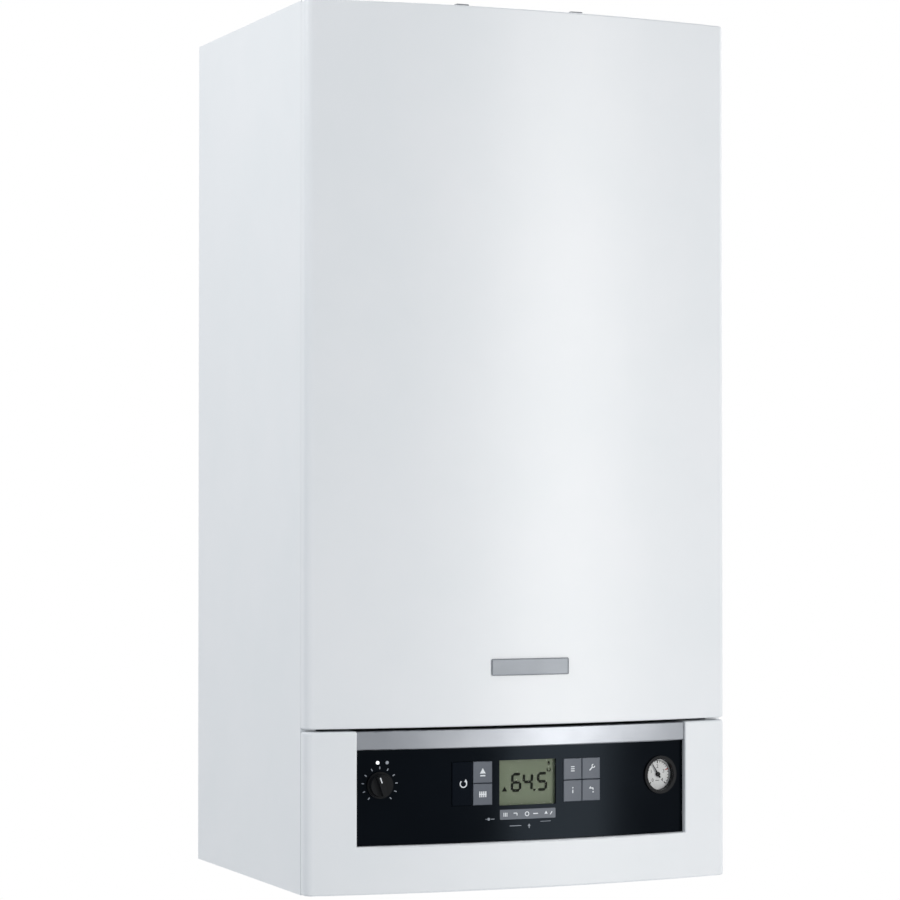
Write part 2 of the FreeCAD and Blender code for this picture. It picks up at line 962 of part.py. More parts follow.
def lower_panel():
    """The bowed lower panel, hollow behind, with a window open at the top for the fascia and the strip."""
    body = body_at("lower_panel")
    wall = s.panel_wall
    half = half_width - wall
    beyond = panel_rear - s.overrun
    height = s.lower_height - wall * 2
    pad(body, "XY", [front_outline(ZERO, panel_rear)], s.lower_height)

    def is_outer_edge(edge):
        point = middle(edge)
        level = near(point.z, s.lower_height) or near(point.z, ZERO)
        return level and not near(point.y, -panel_rear)

    fillet(body, s.panel_edge, is_outer_edge)
    well = bow_block(-(half_window + wall), half_window + wall, s.rim_depth, beyond)
    cut(body, "XY", [well], height, wall, reverse=True)
    chin = front_outline(wall, beyond)
    cut(body, "XY", [chin], s.chin_height - wall * 2, wall, reverse=True)
    end_x, end_y = bow_end(wall)
    bend = s.corner_radius - wall
    start = half_window + wall
    turns = {-1: CW, 1: CCW}
    posts = []
    for side in SIDES:
        posts.append([
            (start * side, -beyond),
            (start * side, bow_y(start, wall)),
            (end_x * side, end_y, bow_radius - wall, turns[side]),
            (half * side, corner_line, bend, turns[side]),
            (half * side, -beyond),
        ])
    cut(body, "XY", posts, height, wall, reverse=True)
    window = rectangle(-half_window, s.chin_height, half_window, s.lower_height + s.overrun)
    through = s.case_depth - panel_rear + s.overrun * 2
    cut(body, "XZ", [window], through, s.case_depth + s.overrun)

    def is_window_edge(edge):
        point = middle(edge)
        front = near(point.y, bow_y(as_size(point.x), ZERO))
        side = near(abs(point.x), half_window) and near(edge.BoundBox.XLength, ZERO)
        low = near(point.z, s.chin_height) and near(edge.BoundBox.ZLength, ZERO)
        return front and (side or low)

    fillet(body, s.window_edge, is_window_edge)
    return body


def key_cells():
    """Each key's name with its left, low, right and high edges and whether it has a lip below and above."""
    low = s.keys_bottom
    high = low + s.keys_height
    centre = low + s.keys_height / 2
    inner = s.keys_inner
    second = inner + s.key_width
    outer = second + s.key_width
    return [
        ("reset_key", -(second + s.reset_width), low, -second, high, True, True),
        ("up_key", -second, centre, -inner, high, False, True),
        ("down_key", -second, low, -inner, centre, True, False),
        ("menu_key", inner, centre, second, high, False, True),
        ("heating_key", second, centre, outer, high, False, True),
        ("info_key", inner, low, second, centre, True, False),
        ("water_key", second, low, outer, centre, True, False),
    ]


def lamp_places():
    """The middle of each indicator lamp, across the front."""
    return [-lamp_offset, s.lamp_pitch - lamp_offset]


def board_posts():
    """The middle of each post that holds the board to the fascia, as (x, height)."""
    reach = board_width / 2 - s.board_post_inset
    low = s.board_bottom + s.board_post_inset
    high = s.board_bottom + s.board_height - s.board_post_inset
    return [(reach * side, height) for side in SIDES for height in (low, high)]


def control_fascia():
    """The curved black fascia with its openings, and the posts behind it for the board."""
    body = body_at("control_fascia")
    half = half_window - s.fit_gap
    low = s.chin_height + s.fit_gap
    back = s.recess + s.fascia_wall
    pad(body, "XY", [bow_band(-half, half, s.recess, back)], fascia_top - low, low)
    reach = board_width / 2 - s.board_post_inset
    length = -bow_y(reach, s.recess + s.fascia_wall / 2) - board_front
    posts = [Circle(x, height, s.board_post_radius) for x, height in board_posts()]
    pad(body, "XZ", posts, length, board_front)
    keys_top = s.keys_bottom + s.keys_height
    second = s.keys_inner + s.key_width
    display = s.display_width / 2
    openings = [
        rectangle(-(second + s.reset_width), s.keys_bottom, -s.keys_inner, keys_top),
        rectangle(s.keys_inner, s.keys_bottom, second + s.key_width, keys_top),
        rectangle(-display, s.display_bottom, display, s.display_bottom + s.display_height),
        Circle(-knob_offset, s.dial_height, s.bush_radius + s.bush_play),
        Circle(gauge_offset, s.dial_height, s.gauge_radius + s.gauge_play),
    ]
    openings += [Circle(x, s.lamp_height, s.lamp_radius + s.lens_gap) for x in lamp_places()]
    cut(body, "XZ", openings, s.case_depth - panel_rear + s.overrun, s.case_depth + s.overrun)
    return body


def trim_strip():
    """The bright strip across the top of the window."""
    body = body_at("trim_strip")
    half = half_window - s.fit_gap
    low = fascia_top + s.fit_gap
    band = bow_band(-half, half, s.strip_inset, s.strip_inset + s.strip_wall)
    pad(body, "XY", [band], s.lower_height - low, low)

    def is_front_edge(edge):
        point = middle(edge)
        level = near(point.z, low) or near(point.z, s.lower_height)
        return level and near(point.y, bow_y(as_size(point.x), s.strip_inset)) and edge.Length > half.value

    fillet(body, s.strip_edge, is_front_edge)
    return body


def control_box():
    """The open box behind the lower panel, with the rim that closes its back and the holes for the pins."""
    body = body_at("control_box")
    rim = half_width - s.panel_wall
    half = box_half_width
    tail = s.hinge_back - s.box_tail
    pad(body, "XZ", [rectangle(-half, s.box_bottom, half, s.box_top)], panel_rear - tail, tail)

    def is_rear_edge(edge):
        return near(middle(edge).y, -tail)

    fillet(body, s.box_edge, is_rear_edge)
    plate = rectangle(-rim, s.panel_wall, rim, s.lower_height - s.panel_wall)
    pad(body, "XZ", [plate], s.box_wall, panel_rear)
    inside = rectangle(
        s.box_wall - half, s.box_bottom + s.box_wall, half - s.box_wall, s.box_top - s.box_wall
    )
    cut(body, "XZ", [inside], panel_rear - tail, panel_rear + s.box_wall)
    pivot = Circle(-s.hinge_back, s.hinge_height, s.pin_radius)
    cut(body, "YZ", [pivot], s.case_width, half_width)
    return body


def hinge_pins():
    """The two pins on which the control unit swings down."""
    body = body_at("hinge_pin")
    inner = box_half_width - s.box_wall - s.pin_tail
    outer = box_half_width + s.ear_gap + s.ear_wall + s.pin_nose
    pad(body, "YZ", [Circle(-s.hinge_back, s.hinge_height, s.pin_radius)], outer - inner, inner)
    return group("hinge_pins", [body, mirrored(body)])


def control_board():
    """The circuit board behind the fascia, with a switch behind each key and sockets at the back."""
    body = body_at("control_board")
    half = board_width / 2
    top = s.board_bottom + s.board_height
    pad(body, "XZ", [rectangle(-half, s.board_bottom, half, top)], s.board_wall, board_front, reverse=True)
    switches = []
    reach = s.switch_size / 2
    for name, left, low, right, high, below, above in key_cells():
        x, height = (left + right) / 2, (low + high) / 2
        switches.append(rectangle(x - reach, height - reach, x + reach, height + reach))
    pad(body, "XZ", switches, s.switch_height, board_front)
    sockets = []
    for side in SIDES:
        left = half / 2 * side - s.plug_width / 2
        low = s.board_bottom + s.board_height / 2
        sockets.append(rectangle(left, low, left + s.plug_width, low + s.plug_height))
    pad(body, "XZ", sockets, s.plug_depth, board_front - s.board_wall, reverse=True)
    return body


def display_module():
    """The flat display with its frame, on the board behind the lens."""
    body = body_at("display_module")
    half = s.display_width / 2 + s.module_margin
    low = s.display_bottom - s.module_margin
    high = s.display_bottom + s.display_height + s.module_margin
    front = -bow_y(half, s.recess + s.fascia_wall) - s.fit_gap
    pad(body, "XZ", [rectangle(-half, low, half, high)], front - board_front, board_front)
    glass = rectangle(s.module_rim - half, low + s.module_rim, half - s.module_rim, high - s.module_rim)
    cut(body, "XZ", [glass], s.module_step, front)
    return body


def display_lens():
    """The clear curved window over the display."""
    body = body_at("display_lens")
    half = s.display_width / 2 - s.lens_gap
    front = s.recess + s.lens_gap
    band = bow_band(-half, half, front, front + s.lens_wall)
    pad(body, "XY", [band], s.display_height - s.lens_gap * 2, s.display_bottom + s.lens_gap)
    return body


def indicator_lamps():
    """The two small lamp lenses above the selector knob."""
    lamps = []
    for number, x in enumerate(lamp_places(), 1):
        body = body_at(f"lamp_{number}")
        front = -bow_y(x, s.recess) + s.lamp_proud
        pad(body, "XZ", [Circle(x, s.lamp_height, s.lamp_radius)], s.lamp_length, front, reverse=True)
        lamps.append(body)
    return group("indicator_lamps", lamps)


def key(name, left, low, right, high, below, above):
    """A key with a bowed front, proud of the fascia, held behind it by a lip."""
    body = body_at(name)
    gap = s.fit_gap
    rear = board_front + s.switch_height + s.key_travel + gap
    front = s.recess - s.key_proud
    cap = bow_block(left + gap, right - gap, front, rear)
    pad(body, "XY", [cap], high - low - gap * 2, low + gap)

    def is_front_edge(edge):
        ends = [vertex.Point for vertex in edge.Vertexes]
        return all(near(point.y, bow_y(as_size(point.x), front)) for point in ends)

    fillet(body, s.key_edge, is_front_edge)
    seat = s.recess + s.fascia_wall + gap
    band = bow_band(left + gap, right - gap, seat, seat + s.key_lip_wall)
    if below:
        pad(body, "XY", [band], s.key_lip + gap, low - s.key_lip)
    if above:
        pad(body, "XY", [band], s.key_lip + gap, high - gap)
    return body


def selector_knob():
    """The round knob with a raised grip, on a shaft that turns in the switch behind the fascia."""
    body = body_on_fascia("selector_knob", -1, knob_offset, s.dial_height)
    base = s.knob_gap
    skirt = base + s.skirt_rise
    face = skirt + s.cap_rise
    profile = [
        (ZERO, s.shaft_length),
        (s.shaft_radius, s.shaft_length),
        (s.shaft_radius, -base),
        (s.skirt_radius, -base),
        (s.skirt_radius, -skirt),
        (s.cap_radius, -skirt),
        (s.cap_radius - s.cap_taper, -face),
        (ZERO, -face),
    ]
    revolve(body, "XY", profile)
    cosine, sine = s.knob_angle.cosine(), s.knob_angle.sine()
    wide, high = s.grip_width / 2, s.grip_length / 2
    corners = [(-wide, -high), (wide, -high), (wide, high), (-wide, high)]
    grip = [(x * cosine - z * sine, x * sine + z * cosine) for x, z in corners]
    pad(body, "XZ", [grip], s.grip_rise, face)
    return body


def selector_switch():
    """The rotary switch behind the fascia, with the bush that guides the knob's shaft."""
    body = body_on_fascia("selector_switch", -1, knob_offset, s.dial_height)
    half = s.selector_size / 2
    front = s.fascia_wall + s.fit_gap
    pad(body, "XZ", [rectangle(-half, -half, half, half)], s.selector_depth, -front, reverse=True)
    pad(body, "XZ", [Circle(ZERO, ZERO, s.bush_radius)], front, -front)
    bore = Circle(ZERO, ZERO, s.shaft_radius + s.shaft_play)
    cut(body, "XZ", [bore], s.shaft_length + s.overrun, s.overrun)
    return body


def gauge_case():
    """The cup of the pressure gauge, with a bezel on the front of the fascia."""
    body = body_on_fascia("gauge_case", 1, gauge_offset, s.dial_height)
    rim = s.bezel_gap + s.bezel_rise
    hole = s.spindle_radius + s.spindle_play
    profile = [
        (ZERO, s.gauge_depth),
        (s.gauge_radius, s.gauge_depth),
        (s.gauge_radius, -s.bezel_gap),
        (s.bezel_radius, -s.bezel_gap),
        (s.bezel_radius, -rim),
        (s.gauge_bore, -rim),
        (s.gauge_bore, s.dial_floor),
        (hole, s.dial_floor),
        (hole, s.dial_floor + s.spindle_depth),
        (ZERO, s.dial_floor + s.spindle_depth),
    ]
    revolve(body, "XY", profile)
    return body


def gauge_dial():
    """The thin dial on the floor of the gauge."""
    body = body_on_fascia("gauge_dial", 1, gauge_offset, s.dial_height)
    inner = s.spindle_radius + s.dial_play * 2
    outer = s.gauge_bore - s.dial_play
    top = s.dial_floor - s.dial_wall
    revolve(body, "XY", rectangle(inner, top, outer, s.dial_floor))
    return body


def gauge_needle():
    """The pointer of the gauge, on a fine spindle."""
    body = body_on_fascia("gauge_needle", 1, gauge_offset, s.dial_height)
    low = s.dial_floor - s.dial_wall - s.fit_gap
    top = low - s.needle_rise
    end = s.dial_floor + s.spindle_depth - s.fit_gap
    profile = [
        (ZERO, end),
        (s.spindle_radius, end),
        (s.spindle_radius, low),
        (s.needle_hub, low),
        (s.needle_hub, top),
        (ZERO, top),
    ]
    revolve(body, "XY", profile)
    cosine, sine = s.needle_angle.cosine(), s.needle_angle.sine()
    half = s.needle_width / 2
    point = half / 4
    corners = [
        (-half, -s.needle_tail),
        (half, -s.needle_tail),
        (point, s.needle_length),
        (-point, s.needle_length),
    ]
    pointer = [(x * cosine - z * sine, x * sine + z * cosine) for x, z in corners]
    pad(body, "XZ", [pointer], s.needle_wall, -(top + s.needle_wall))
    return body


def gauge_lens():
    """The flat clear disc in front of the gauge."""
    body = body_on_fascia("gauge_lens", 1, gauge_offset, s.dial_height)
    front = s.bezel_gap + s.bezel_rise - s.glass_inset
    disc = Circle(ZERO, ZERO, s.gauge_bore - s.dial_play)
    pad(body, "XZ", [disc], s.glass_wall, front, reverse=True)
    return body


# Pipes and the inside of the boiler

exchanger_base = s.shelf_height + s.frame_sheet + s.sump_height
exchanger_top = exchanger_base + exchanger_height
valve_bottom = exchanger_top - s.valve_drop
flow_height = exchanger_top - s.flow_drop
exchanger_front = s.exchanger_back + s.exchanger_depth
hood_top = exchanger_top + s.hood_height
fan_height = hood_top + s.fan_lift
sump_left = -(s.exchanger_offset + exchanger_width / 2 + s.sump_margin)
sump_right = flue_offset + s.duct_radius + s.sump_margin
relief_x = heating_x + s.relief_offset


def stub_places():
    """Each pipe connection as (x, depth, radius): flow, hot water, gas, cold water and return."""
    return [
        (-heating_x, s.stub_back, s.heating_pipe),
        (-stub_spacing, s.stub_back, s.water_pipe),
        (ZERO, s.gas_back, s.gas_tail),
        (stub_spacing, s.stub_back, s.water_pipe),
        (heating_x, s.stub_back, s.heating_pipe),
    ]


def pipe_stubs():
    """The five pipe ends through the connection plate, each with a collar below it and a nut above it."""
    stubs = []
    for number, (x, depth, radius) in enumerate(stub_places(), 1):
        body = body_at(f"pipe_stub_{number}", x, depth)
        bore = radius - s.pipe_wall
        collar = radius + s.stub_collar
        above = s.plate_height + s.frame_sheet
        profile = [
            (bore, s.stub_bottom),
            (radius, s.stub_bottom),
            (radius, s.plate_height - s.stub_collar_rise),
            (collar, s.plate_height - s.stub_collar_rise),
            (collar, s.plate_height),
            (radius, s.plate_height),
            (radius, above),
            (collar, above),
            (collar, above + s.stub_nut_rise),
            (radius, above + s.stub_nut_rise),
            (radius, s.stub_top),
            (bore, s.stub_top),
        ]
        revolve(body, "XZ", profile)
        stubs.append(body)
    return group("pipe_stubs", stubs)


def route_edges(points, bend):
    """The lines and bends of a pipe's middle line through corner points."""
    edges = []
    start = points[0]
    for corner, after in zip(points[1:-1], points[2:]):
        back = (start - corner).normalize()
        on = (after - corner).normalize()
        half_angle = back.getAngle(on) / 2
        reach = bend / math.tan(half_angle)
        bisector = (back + on).normalize()
        centre = corner + bisector * (bend / math.sin(half_angle))
        first = corner + back * reach
        last = corner + on * reach
        edges.append(Part.LineSegment(start, first).toShape())
        edges.append(Part.Arc(first, centre - bisector * bend, last).toShape())
        start = last
    edges.append(Part.LineSegment(start, points[-1]).toShape())
    return edges


def pipe(name, corners, radius, wall, bend):
    """A bent pipe through corners given as (x, depth, height), with its first corner as its place."""
    points = [Vector(x.value, -depth.value, height.value) for x, depth, height in corners]
    points = [point - points[0] for point in points]
    path = Part.Wire(route_edges(points, bend.value))
    along = points[1] - points[0]
    solids = []
    for size in (radius, radius - wall):
        ring = Part.Wire([Part.makeCircle(size.value, points[0], along)])
        solids.append(path.makePipeShell([ring], True, False))
    item = document.addObject("Part::Feature", name)
    item.Label = name
    item.Shape = solids[0].cut(solids[1])
    place(item, *corners[0])
    return item


def flow_pipe():
    """From the heat exchanger's side down to the diverter valve."""
    side = -(s.exchanger_offset + exchanger_width / 2)
    corners = [
        (side, s.stub_back, flow_height),
        (-heating_x, s.stub_back, flow_height),
        (-heating_x, s.stub_back, s.stub_top + s.diverter_height),
    ]
    return pipe("flow_pipe", corners, s.circuit_pipe, s.pipe_wall, s.pipe_bend)


def return_pipe():
    """From the pump forwards under the sump and up into the front of the heat exchanger."""
    corners = [
        (heating_x, s.stub_back, s.pump_port_top),
        (heating_x, s.stub_back, s.return_run_height),
        (heating_x, s.return_front, s.return_run_height),
        (s.return_x, s.return_front, s.return_run_height),
        (s.return_x, s.return_front, s.return_height),
        (s.return_x, exchanger_front, s.return_height),
    ]
    return pipe("return_pipe", corners, s.circuit_pipe, s.pipe_wall, s.pipe_bend)


def gas_pipe():
    """From the gas connection forwards, to the left and up to the gas valve."""
    x = -(valve_offset + s.gas_inlet_offset)
    front = s.valve_back + s.gas_inlet_depth
    corners = [
        (ZERO, s.gas_back, s.stub_top),
        (ZERO, s.gas_back, s.gas_run_height),
        (ZERO, front, s.gas_run_height),
        (x, front, s.gas_run_height),
        (x, front, valve_bottom),
    ]
    return pipe("gas_pipe", corners, s.gas_tail, s.pipe_wall, s.pipe_bend)


def gas_feed_pipe():
    """From the gas valve up to the port of the gas mixer."""
    x = -(valve_offset + s.gas_outlet_offset)
    front = s.valve_back + s.gas_outlet_depth
    back = s.fan_back - s.mixer_port_back
    top = valve_bottom + s.valve_height
    corners = [
        (x, front, top),
        (x, front, top + s.feed_rise),
        (x, back, top + s.feed_rise),
        (x, back, fan_height),
        (-(fan_offset + s.mixer_port_reach), back, fan_height),
    ]
    return pipe("gas_feed_pipe", corners, s.feed_pipe, s.pipe_wall, s.feed_bend)


def flue_duct():
    """From the sump up and across to the collar in the lid."""
    low = exchanger_base
    bend_height = low + flue_rise
    corners = [
        (flue_offset, s.flue_back, low),
        (flue_offset, s.flue_back, bend_height),
        (ZERO, s.flue_back, bend_height + flue_offset),
        (ZERO, s.flue_back, s.case_height - s.collar_below),
    ]
    return pipe("flue_duct", corners, s.duct_radius, s.flue_wall, s.flue_bend)


def flue_collar():
    """The flanged socket for the flue on the lid, with a ring of air slots round the socket."""
    body = body_at("flue_collar", ZERO, s.flue_back, s.case_height)
    outer = s.flue_bore + s.collar_wall
    profile = [
        (s.flue_bore, -s.collar_below),
        (outer, -s.collar_below),
        (outer, ZERO),
        (s.collar_flange, ZERO),
        (s.collar_flange, s.collar_flange_wall),
        (outer, s.collar_flange_wall),
        (outer, s.collar_above),
        (s.flue_bore, s.collar_above),
    ]
    revolve(body, "XZ", profile)
    half = s.air_slot_width / 2
    slot = rectangle(s.air_slot_inner, -half, s.air_slot_outer, half)
    depth = s.collar_flange_wall + s.overrun * 2
    first = cut(body, "XY", [slot], depth, s.collar_flange_wall + s.overrun)
    pattern_round(body, first, "Z_Axis", s.air_slot_count)
    return body


def vessel_form(name, inset):
    """The closed, rounded form of the pressure vessel, drawn in by inset."""
    body = body_at(name, ZERO, s.wall_gap + s.frame_sheet, s.vessel_bottom)
    half = vessel_width / 2 - inset
    corner = s.vessel_corner - inset
    outline = rounded_rectangle(-half, inset, half, vessel_height - inset, corner)
    pad(body, "XZ", [outline], s.vessel_depth - inset * 2, inset)

    def is_rim(edge):
        point = middle(edge)
        return near(point.y, -inset) or near(point.y, inset - s.vessel_depth)

    fillet(body, s.vessel_edge - inset, is_rim)
    return body


def expansion_vessel():
    """The flat pressure vessel on the rear frame, pressed from two sheets with a seam round the middle."""
    shell = vessel_form("vessel_shell", ZERO)
    hollow = vessel_form("vessel_hollow", s.vessel_wall)
    grown = vessel_width / 2 + s.vessel_seam
    corner = s.vessel_corner + s.vessel_seam
    seam = rounded_rectangle(-grown, -s.vessel_seam, grown, vessel_height + s.vessel_seam, corner)
    pad(shell, "XZ", [seam], s.vessel_seam_wall, (s.vessel_depth - s.vessel_seam_wall) / 2)
    vessel = document.addObject("Part::Cut", "expansion_vessel")
    vessel.Label = "expansion_vessel"
    vessel.Base = shell
    vessel.Tool = hollow
    return vessel


def heat_exchanger():
    """The cast heat exchanger with ribs across its front and the combustion chamber in its top."""
    body = body_at("heat_exchanger", -s.exchanger_offset, s.exchanger_back, exchanger_base)
    half = exchanger_width / 2
    outline = rounded_rectangle(-half, -s.exchanger_depth, half, ZERO, s.exchanger_edge)
    pad(body, "XY", [outline], exchanger_height)
    reach = half - s.rib_margin
    rib_start = exchanger_height * s.rib_start_share
    rib = rectangle(-reach, rib_start, reach, rib_start + s.rib_wall)
    first = pad(body, "XZ", [rib], s.rib_rise, s.exchanger_depth)
    pattern_along(body, first, "Z_Axis", exchanger_height * s.rib_pitch_share, s.rib_count)
    centre = -s.exchanger_depth / 2
    seat = Circle(ZERO, centre, s.burner_flange + s.burner_play)
    cut(body, "XY", [seat], s.burner_flange_wall, exchanger_height)
    chamber = Circle(ZERO, centre, s.chamber_radius)
    cut(body, "XY", [chamber], s.chamber_depth, exchanger_height)
    return body


def burner():
    """The burner tube that hangs into the combustion chamber by its flange."""
    middle_depth = s.exchanger_back + s.exchanger_depth / 2
    body = body_at("burner", -s.exchanger_offset, middle_depth, exchanger_top)
    inner = s.burner_radius - s.burner_wall
    profile = [
        (ZERO, -s.burner_length),
        (s.burner_radius, -s.burner_length),
        (s.burner_radius, -s.burner_flange_wall),
        (s.burner_flange, -s.burner_flange_wall),
        (s.burner_flange, ZERO),
        (inner, ZERO),
        (inner, s.burner_wall - s.burner_length),
        (ZERO, s.burner_wall - s.burner_length),
    ]
    revolve(body, "XZ", profile)
    return body


def electrode_places():
    """The middle of each electrode, as (x, depth)."""
    x = exchanger_width / 2 - s.exchanger_offset - s.electrode_inset
    return [(x, s.electrode_back), (x, s.electrode_back - s.electrode_pitch)]


def burner_hood():
    """The lid of the burner, a hollow cast box on a flange, open below and where the fan blows in."""
    body = body_at("burner_hood", -s.exchanger_offset, s.exchanger_back, exchanger_top)
    half = exchanger_width / 2
    depth = s.exchanger_depth
    pad(body, "XY", [rounded_rectangle(-half, -depth, half, ZERO, s.exchanger_edge)], s.hood_flange)
    edge = s.hood_margin
    dome = rectangle(edge - half, edge - depth, half - edge, -edge)
    pad(body, "XY", [dome], s.hood_height - s.hood_flange, s.hood_flange)

    def is_dome_edge(item):
        point = middle(item)
        top = near(point.z, s.hood_height)
        upright = near(item.BoundBox.XLength, ZERO) and near(item.BoundBox.YLength, ZERO)
        return top or (upright and point.z > s.hood_flange.value)

    fillet(body, s.hood_edge, is_dome_edge)
    inset = s.hood_margin + s.hood_wall
    inside = rectangle(inset - half, inset - depth, half - inset, -inset)
    cut(body, "XY", [inside], s.hood_height - s.hood_wall, reverse=True)
    right = scroll_side + s.exchanger_offset - fan_offset - s.fan_wall
    left = right - s.outlet_width + s.fan_wall * 2
    back = s.fan_back - s.exchanger_back + s.fan_wall
    front = s.fan_back - s.exchanger_back + s.fan_depth
    mouth = rectangle(left, -front, right, -back)
    holes = []
    for x, place_depth in electrode_places():
        local_y = s.exchanger_back - place_depth
        holes.append(Circle(x + s.exchanger_offset, local_y, s.electrode_pin + s.electrode_play))
    cut(body, "XY", [mouth, *holes], s.hood_wall + s.overrun * 2, s.hood_height + s.overrun)
    return body


def ignition_electrodes():
    """The two ceramic electrodes that reach through the hood."""
    electrodes = []
    for number, (x, depth) in enumerate(electrode_places(), 1):
        body = body_at(f"electrode_{number}", x, depth, hood_top)
        profile = [
            (ZERO, -s.electrode_reach),
            (s.electrode_pin, -s.electrode_reach),
            (s.electrode_pin, ZERO),
            (s.electrode_flange, ZERO),
            (s.electrode_flange, s.electrode_flange_wall),
            (s.electrode_radius, s.electrode_flange_wall),
            (s.electrode_radius, s.electrode_height),
            (ZERO, s.electrode_height),
        ]
        revolve(body, "XZ", profile)
        electrodes.append(body)
    return group("ignition_electrodes", electrodes)


def condensate_sump():
    """The tray under the heat exchanger that joins it to the flue and to the trap."""
    body = body_at("condensate_sump", ZERO, s.exchanger_back, s.shelf_height + s.frame_sheet)
    pad(body, "XY", [rectangle(sump_left, -s.exchanger_depth, sump_right, ZERO)], s.sump_height)
    reach = exchanger_width / 2 - s.exchanger_edge
    left = -(s.exchanger_offset + reach)
    right = reach - s.exchanger_offset
    basin = rectangle(left, s.exchanger_edge - s.exchanger_depth, right, -s.exchanger_edge)
    throat = Circle(flue_offset, s.exchanger_back - s.flue_back, s.duct_radius - s.flue_wall)
    cut(body, "XY", [basin, throat], s.sump_height - s.sump_wall, s.sump_height)
    drain = Circle(-s.trap_x, s.exchanger_back - s.trap_back, s.trap_tail)
    cut(body, "XY", [drain], s.sump_wall + s.overrun * 2, s.sump_wall + s.overrun)
    return body


def condensate_trap():
    """The bottle that hangs under the sump and drains below the connection plate."""
    body = body_at("condensate_trap", -s.trap_x, s.trap_back)
    wall = s.pipe_wall * 2
    bore = s.trap_tail - s.drain_step - s.pipe_wall
    top = s.shelf_height + s.frame_sheet
    profile = [
        (bore, s.stub_bottom),
        (s.trap_tail - s.drain_step, s.stub_bottom),
        (s.trap_tail - s.drain_step, s.drain_nose),
        (s.trap_tail, s.drain_nose),
        (s.trap_tail, s.trap_bottom),
        (s.trap_radius, s.trap_bottom),
        (s.trap_radius, s.trap_shoulder),
        (s.trap_neck, s.trap_shoulder),
        (s.trap_neck, top),
        (s.trap_neck - wall, top),
        (s.trap_neck - wall, s.trap_shoulder - wall),
        (s.trap_radius - wall, s.trap_shoulder - wall),
        (s.trap_radius - wall, s.trap_bottom + wall),
        (bore, s.trap_bottom + wall),
    ]
    revolve(body, "XZ", profile)
    return body


# Fan and gas mixer, about the fan's axis

scroll_side = s.scroll_inner + s.scroll_step * 3


def scroll(inset, drop):
    """The spiral outline of the fan housing, drawn in by inset, its outlet ending drop below the axis."""
    step = s.scroll_step
    small = s.scroll_inner - inset
    medium = small + step
    large = medium + step
    right = step + large
    left = scroll_side - s.outlet_width + inset
    return [
        (ZERO, -small),
        (-small, ZERO, small, CW),
        (step, medium, medium, CW),
        (right, -step, large, CW),
        (right, -drop),
        (left, -drop),
        (left, -small),
    ]


def fan_housing():
    """The spiral housing of the fan, open at the front for the motor plate, with its outlet downwards."""
    body = body_at("fan_housing", -fan_offset, s.fan_back, fan_height)
    pad(body, "XZ", [scroll(ZERO, s.fan_lift)], s.fan_depth)
    hollow = scroll(s.fan_wall, s.fan_lift + s.overrun)
    cut(body, "XZ", [hollow], s.fan_depth - s.fan_wall, s.fan_depth)
    inlet = Circle(ZERO, ZERO, s.inlet_radius)
    cut(body, "XZ", [inlet], s.fan_wall + s.overrun * 2, s.fan_wall + s.overrun)
    return body


def fan_motor():
    """The motor on the plate that closes the front of the fan housing."""
    body = body_at("fan_motor", -fan_offset, s.fan_back, fan_height)
    pad(body, "XZ", [scroll(ZERO, s.fan_lift)], s.motor_plate, s.fan_depth)
    seat = s.fan_depth + s.motor_plate
    pad(body, "XZ", [Circle(ZERO, ZERO, s.motor_radius)], s.motor_depth, seat)

    def is_front_rim(edge):
        return near(middle(edge).y, -(seat + s.motor_depth))

    fillet(body, s.motor_edge, is_front_rim)
    bore = Circle(ZERO, ZERO, s.motor_shaft + s.shaft_play)
    cut(body, "XZ", [bore], s.motor_plate + s.motor_shaft_reach, s.fan_depth, reverse=True)
    return body


def fan_impeller():
    """The wheel of the fan: a back plate with swept blades, a ring over their ends, and the motor shaft."""
    body = body_at("fan_impeller", -fan_offset, s.fan_back, fan_height)
    face = s.fan_depth - s.impeller_gap
    back = face - s.impeller_plate
    start = back - s.impeller_depth
    end = s.fan_depth + s.motor_plate + s.motor_shaft_reach - s.fit_gap
    hub_end = back - s.impeller_hub
    profile = [
        (ZERO, -hub_end),
        (s.impeller_hub, -hub_end),
        (s.impeller_hub, -back),
        (s.impeller_radius, -back),
        (s.impeller_radius, -face),
        (s.motor_shaft, -face),
        (s.motor_shaft, -end),
        (ZERO, -end),
    ]
    revolve(body, "XY", profile)
    ring = [Circle(ZERO, ZERO, s.impeller_radius), Circle(ZERO, ZERO, s.impeller_inner)]
    half = s.blade_wall / 2
    tip = s.blade_sweep + half
    radius = s.impeller_radius - half
    reach = (radius * radius - tip * tip).root()
    root = s.impeller_inner + half
    blade = [(-half, root), (half, root), (tip, reach), (s.blade_sweep - half, reach)]
    first = pad(body, "XZ", [blade], s.impeller_depth, start)
    pattern_round(body, first, "Y_Axis", s.blade_count)
    pad(body, "XZ", ring, s.impeller_plate, start, reverse=True)
    return body


def venturi_mixer():
    """The waisted tube behind the fan where gas joins the air, with the port for the gas."""
    body = body_at("venturi_mixer", -fan_offset, s.fan_back, fan_height)
    wall = s.mixer_wall
    waist = s.mixer_port_back
    profile = [
        (s.inlet_radius, ZERO),
        (s.inlet_radius + wall, ZERO),
        (s.mixer_throat + wall, waist),
        (s.mixer_mouth, s.mixer_length),
        (s.mixer_mouth - wall, s.mixer_length),
        (s.mixer_throat, waist),
    ]
    revolve(body, "XY", profile)
    length = s.mixer_port_reach - s.mixer_throat - wall / 4
    pad(body, "YZ", [Circle(waist, ZERO, s.mixer_port)], length, -s.mixer_port_reach)
    return body


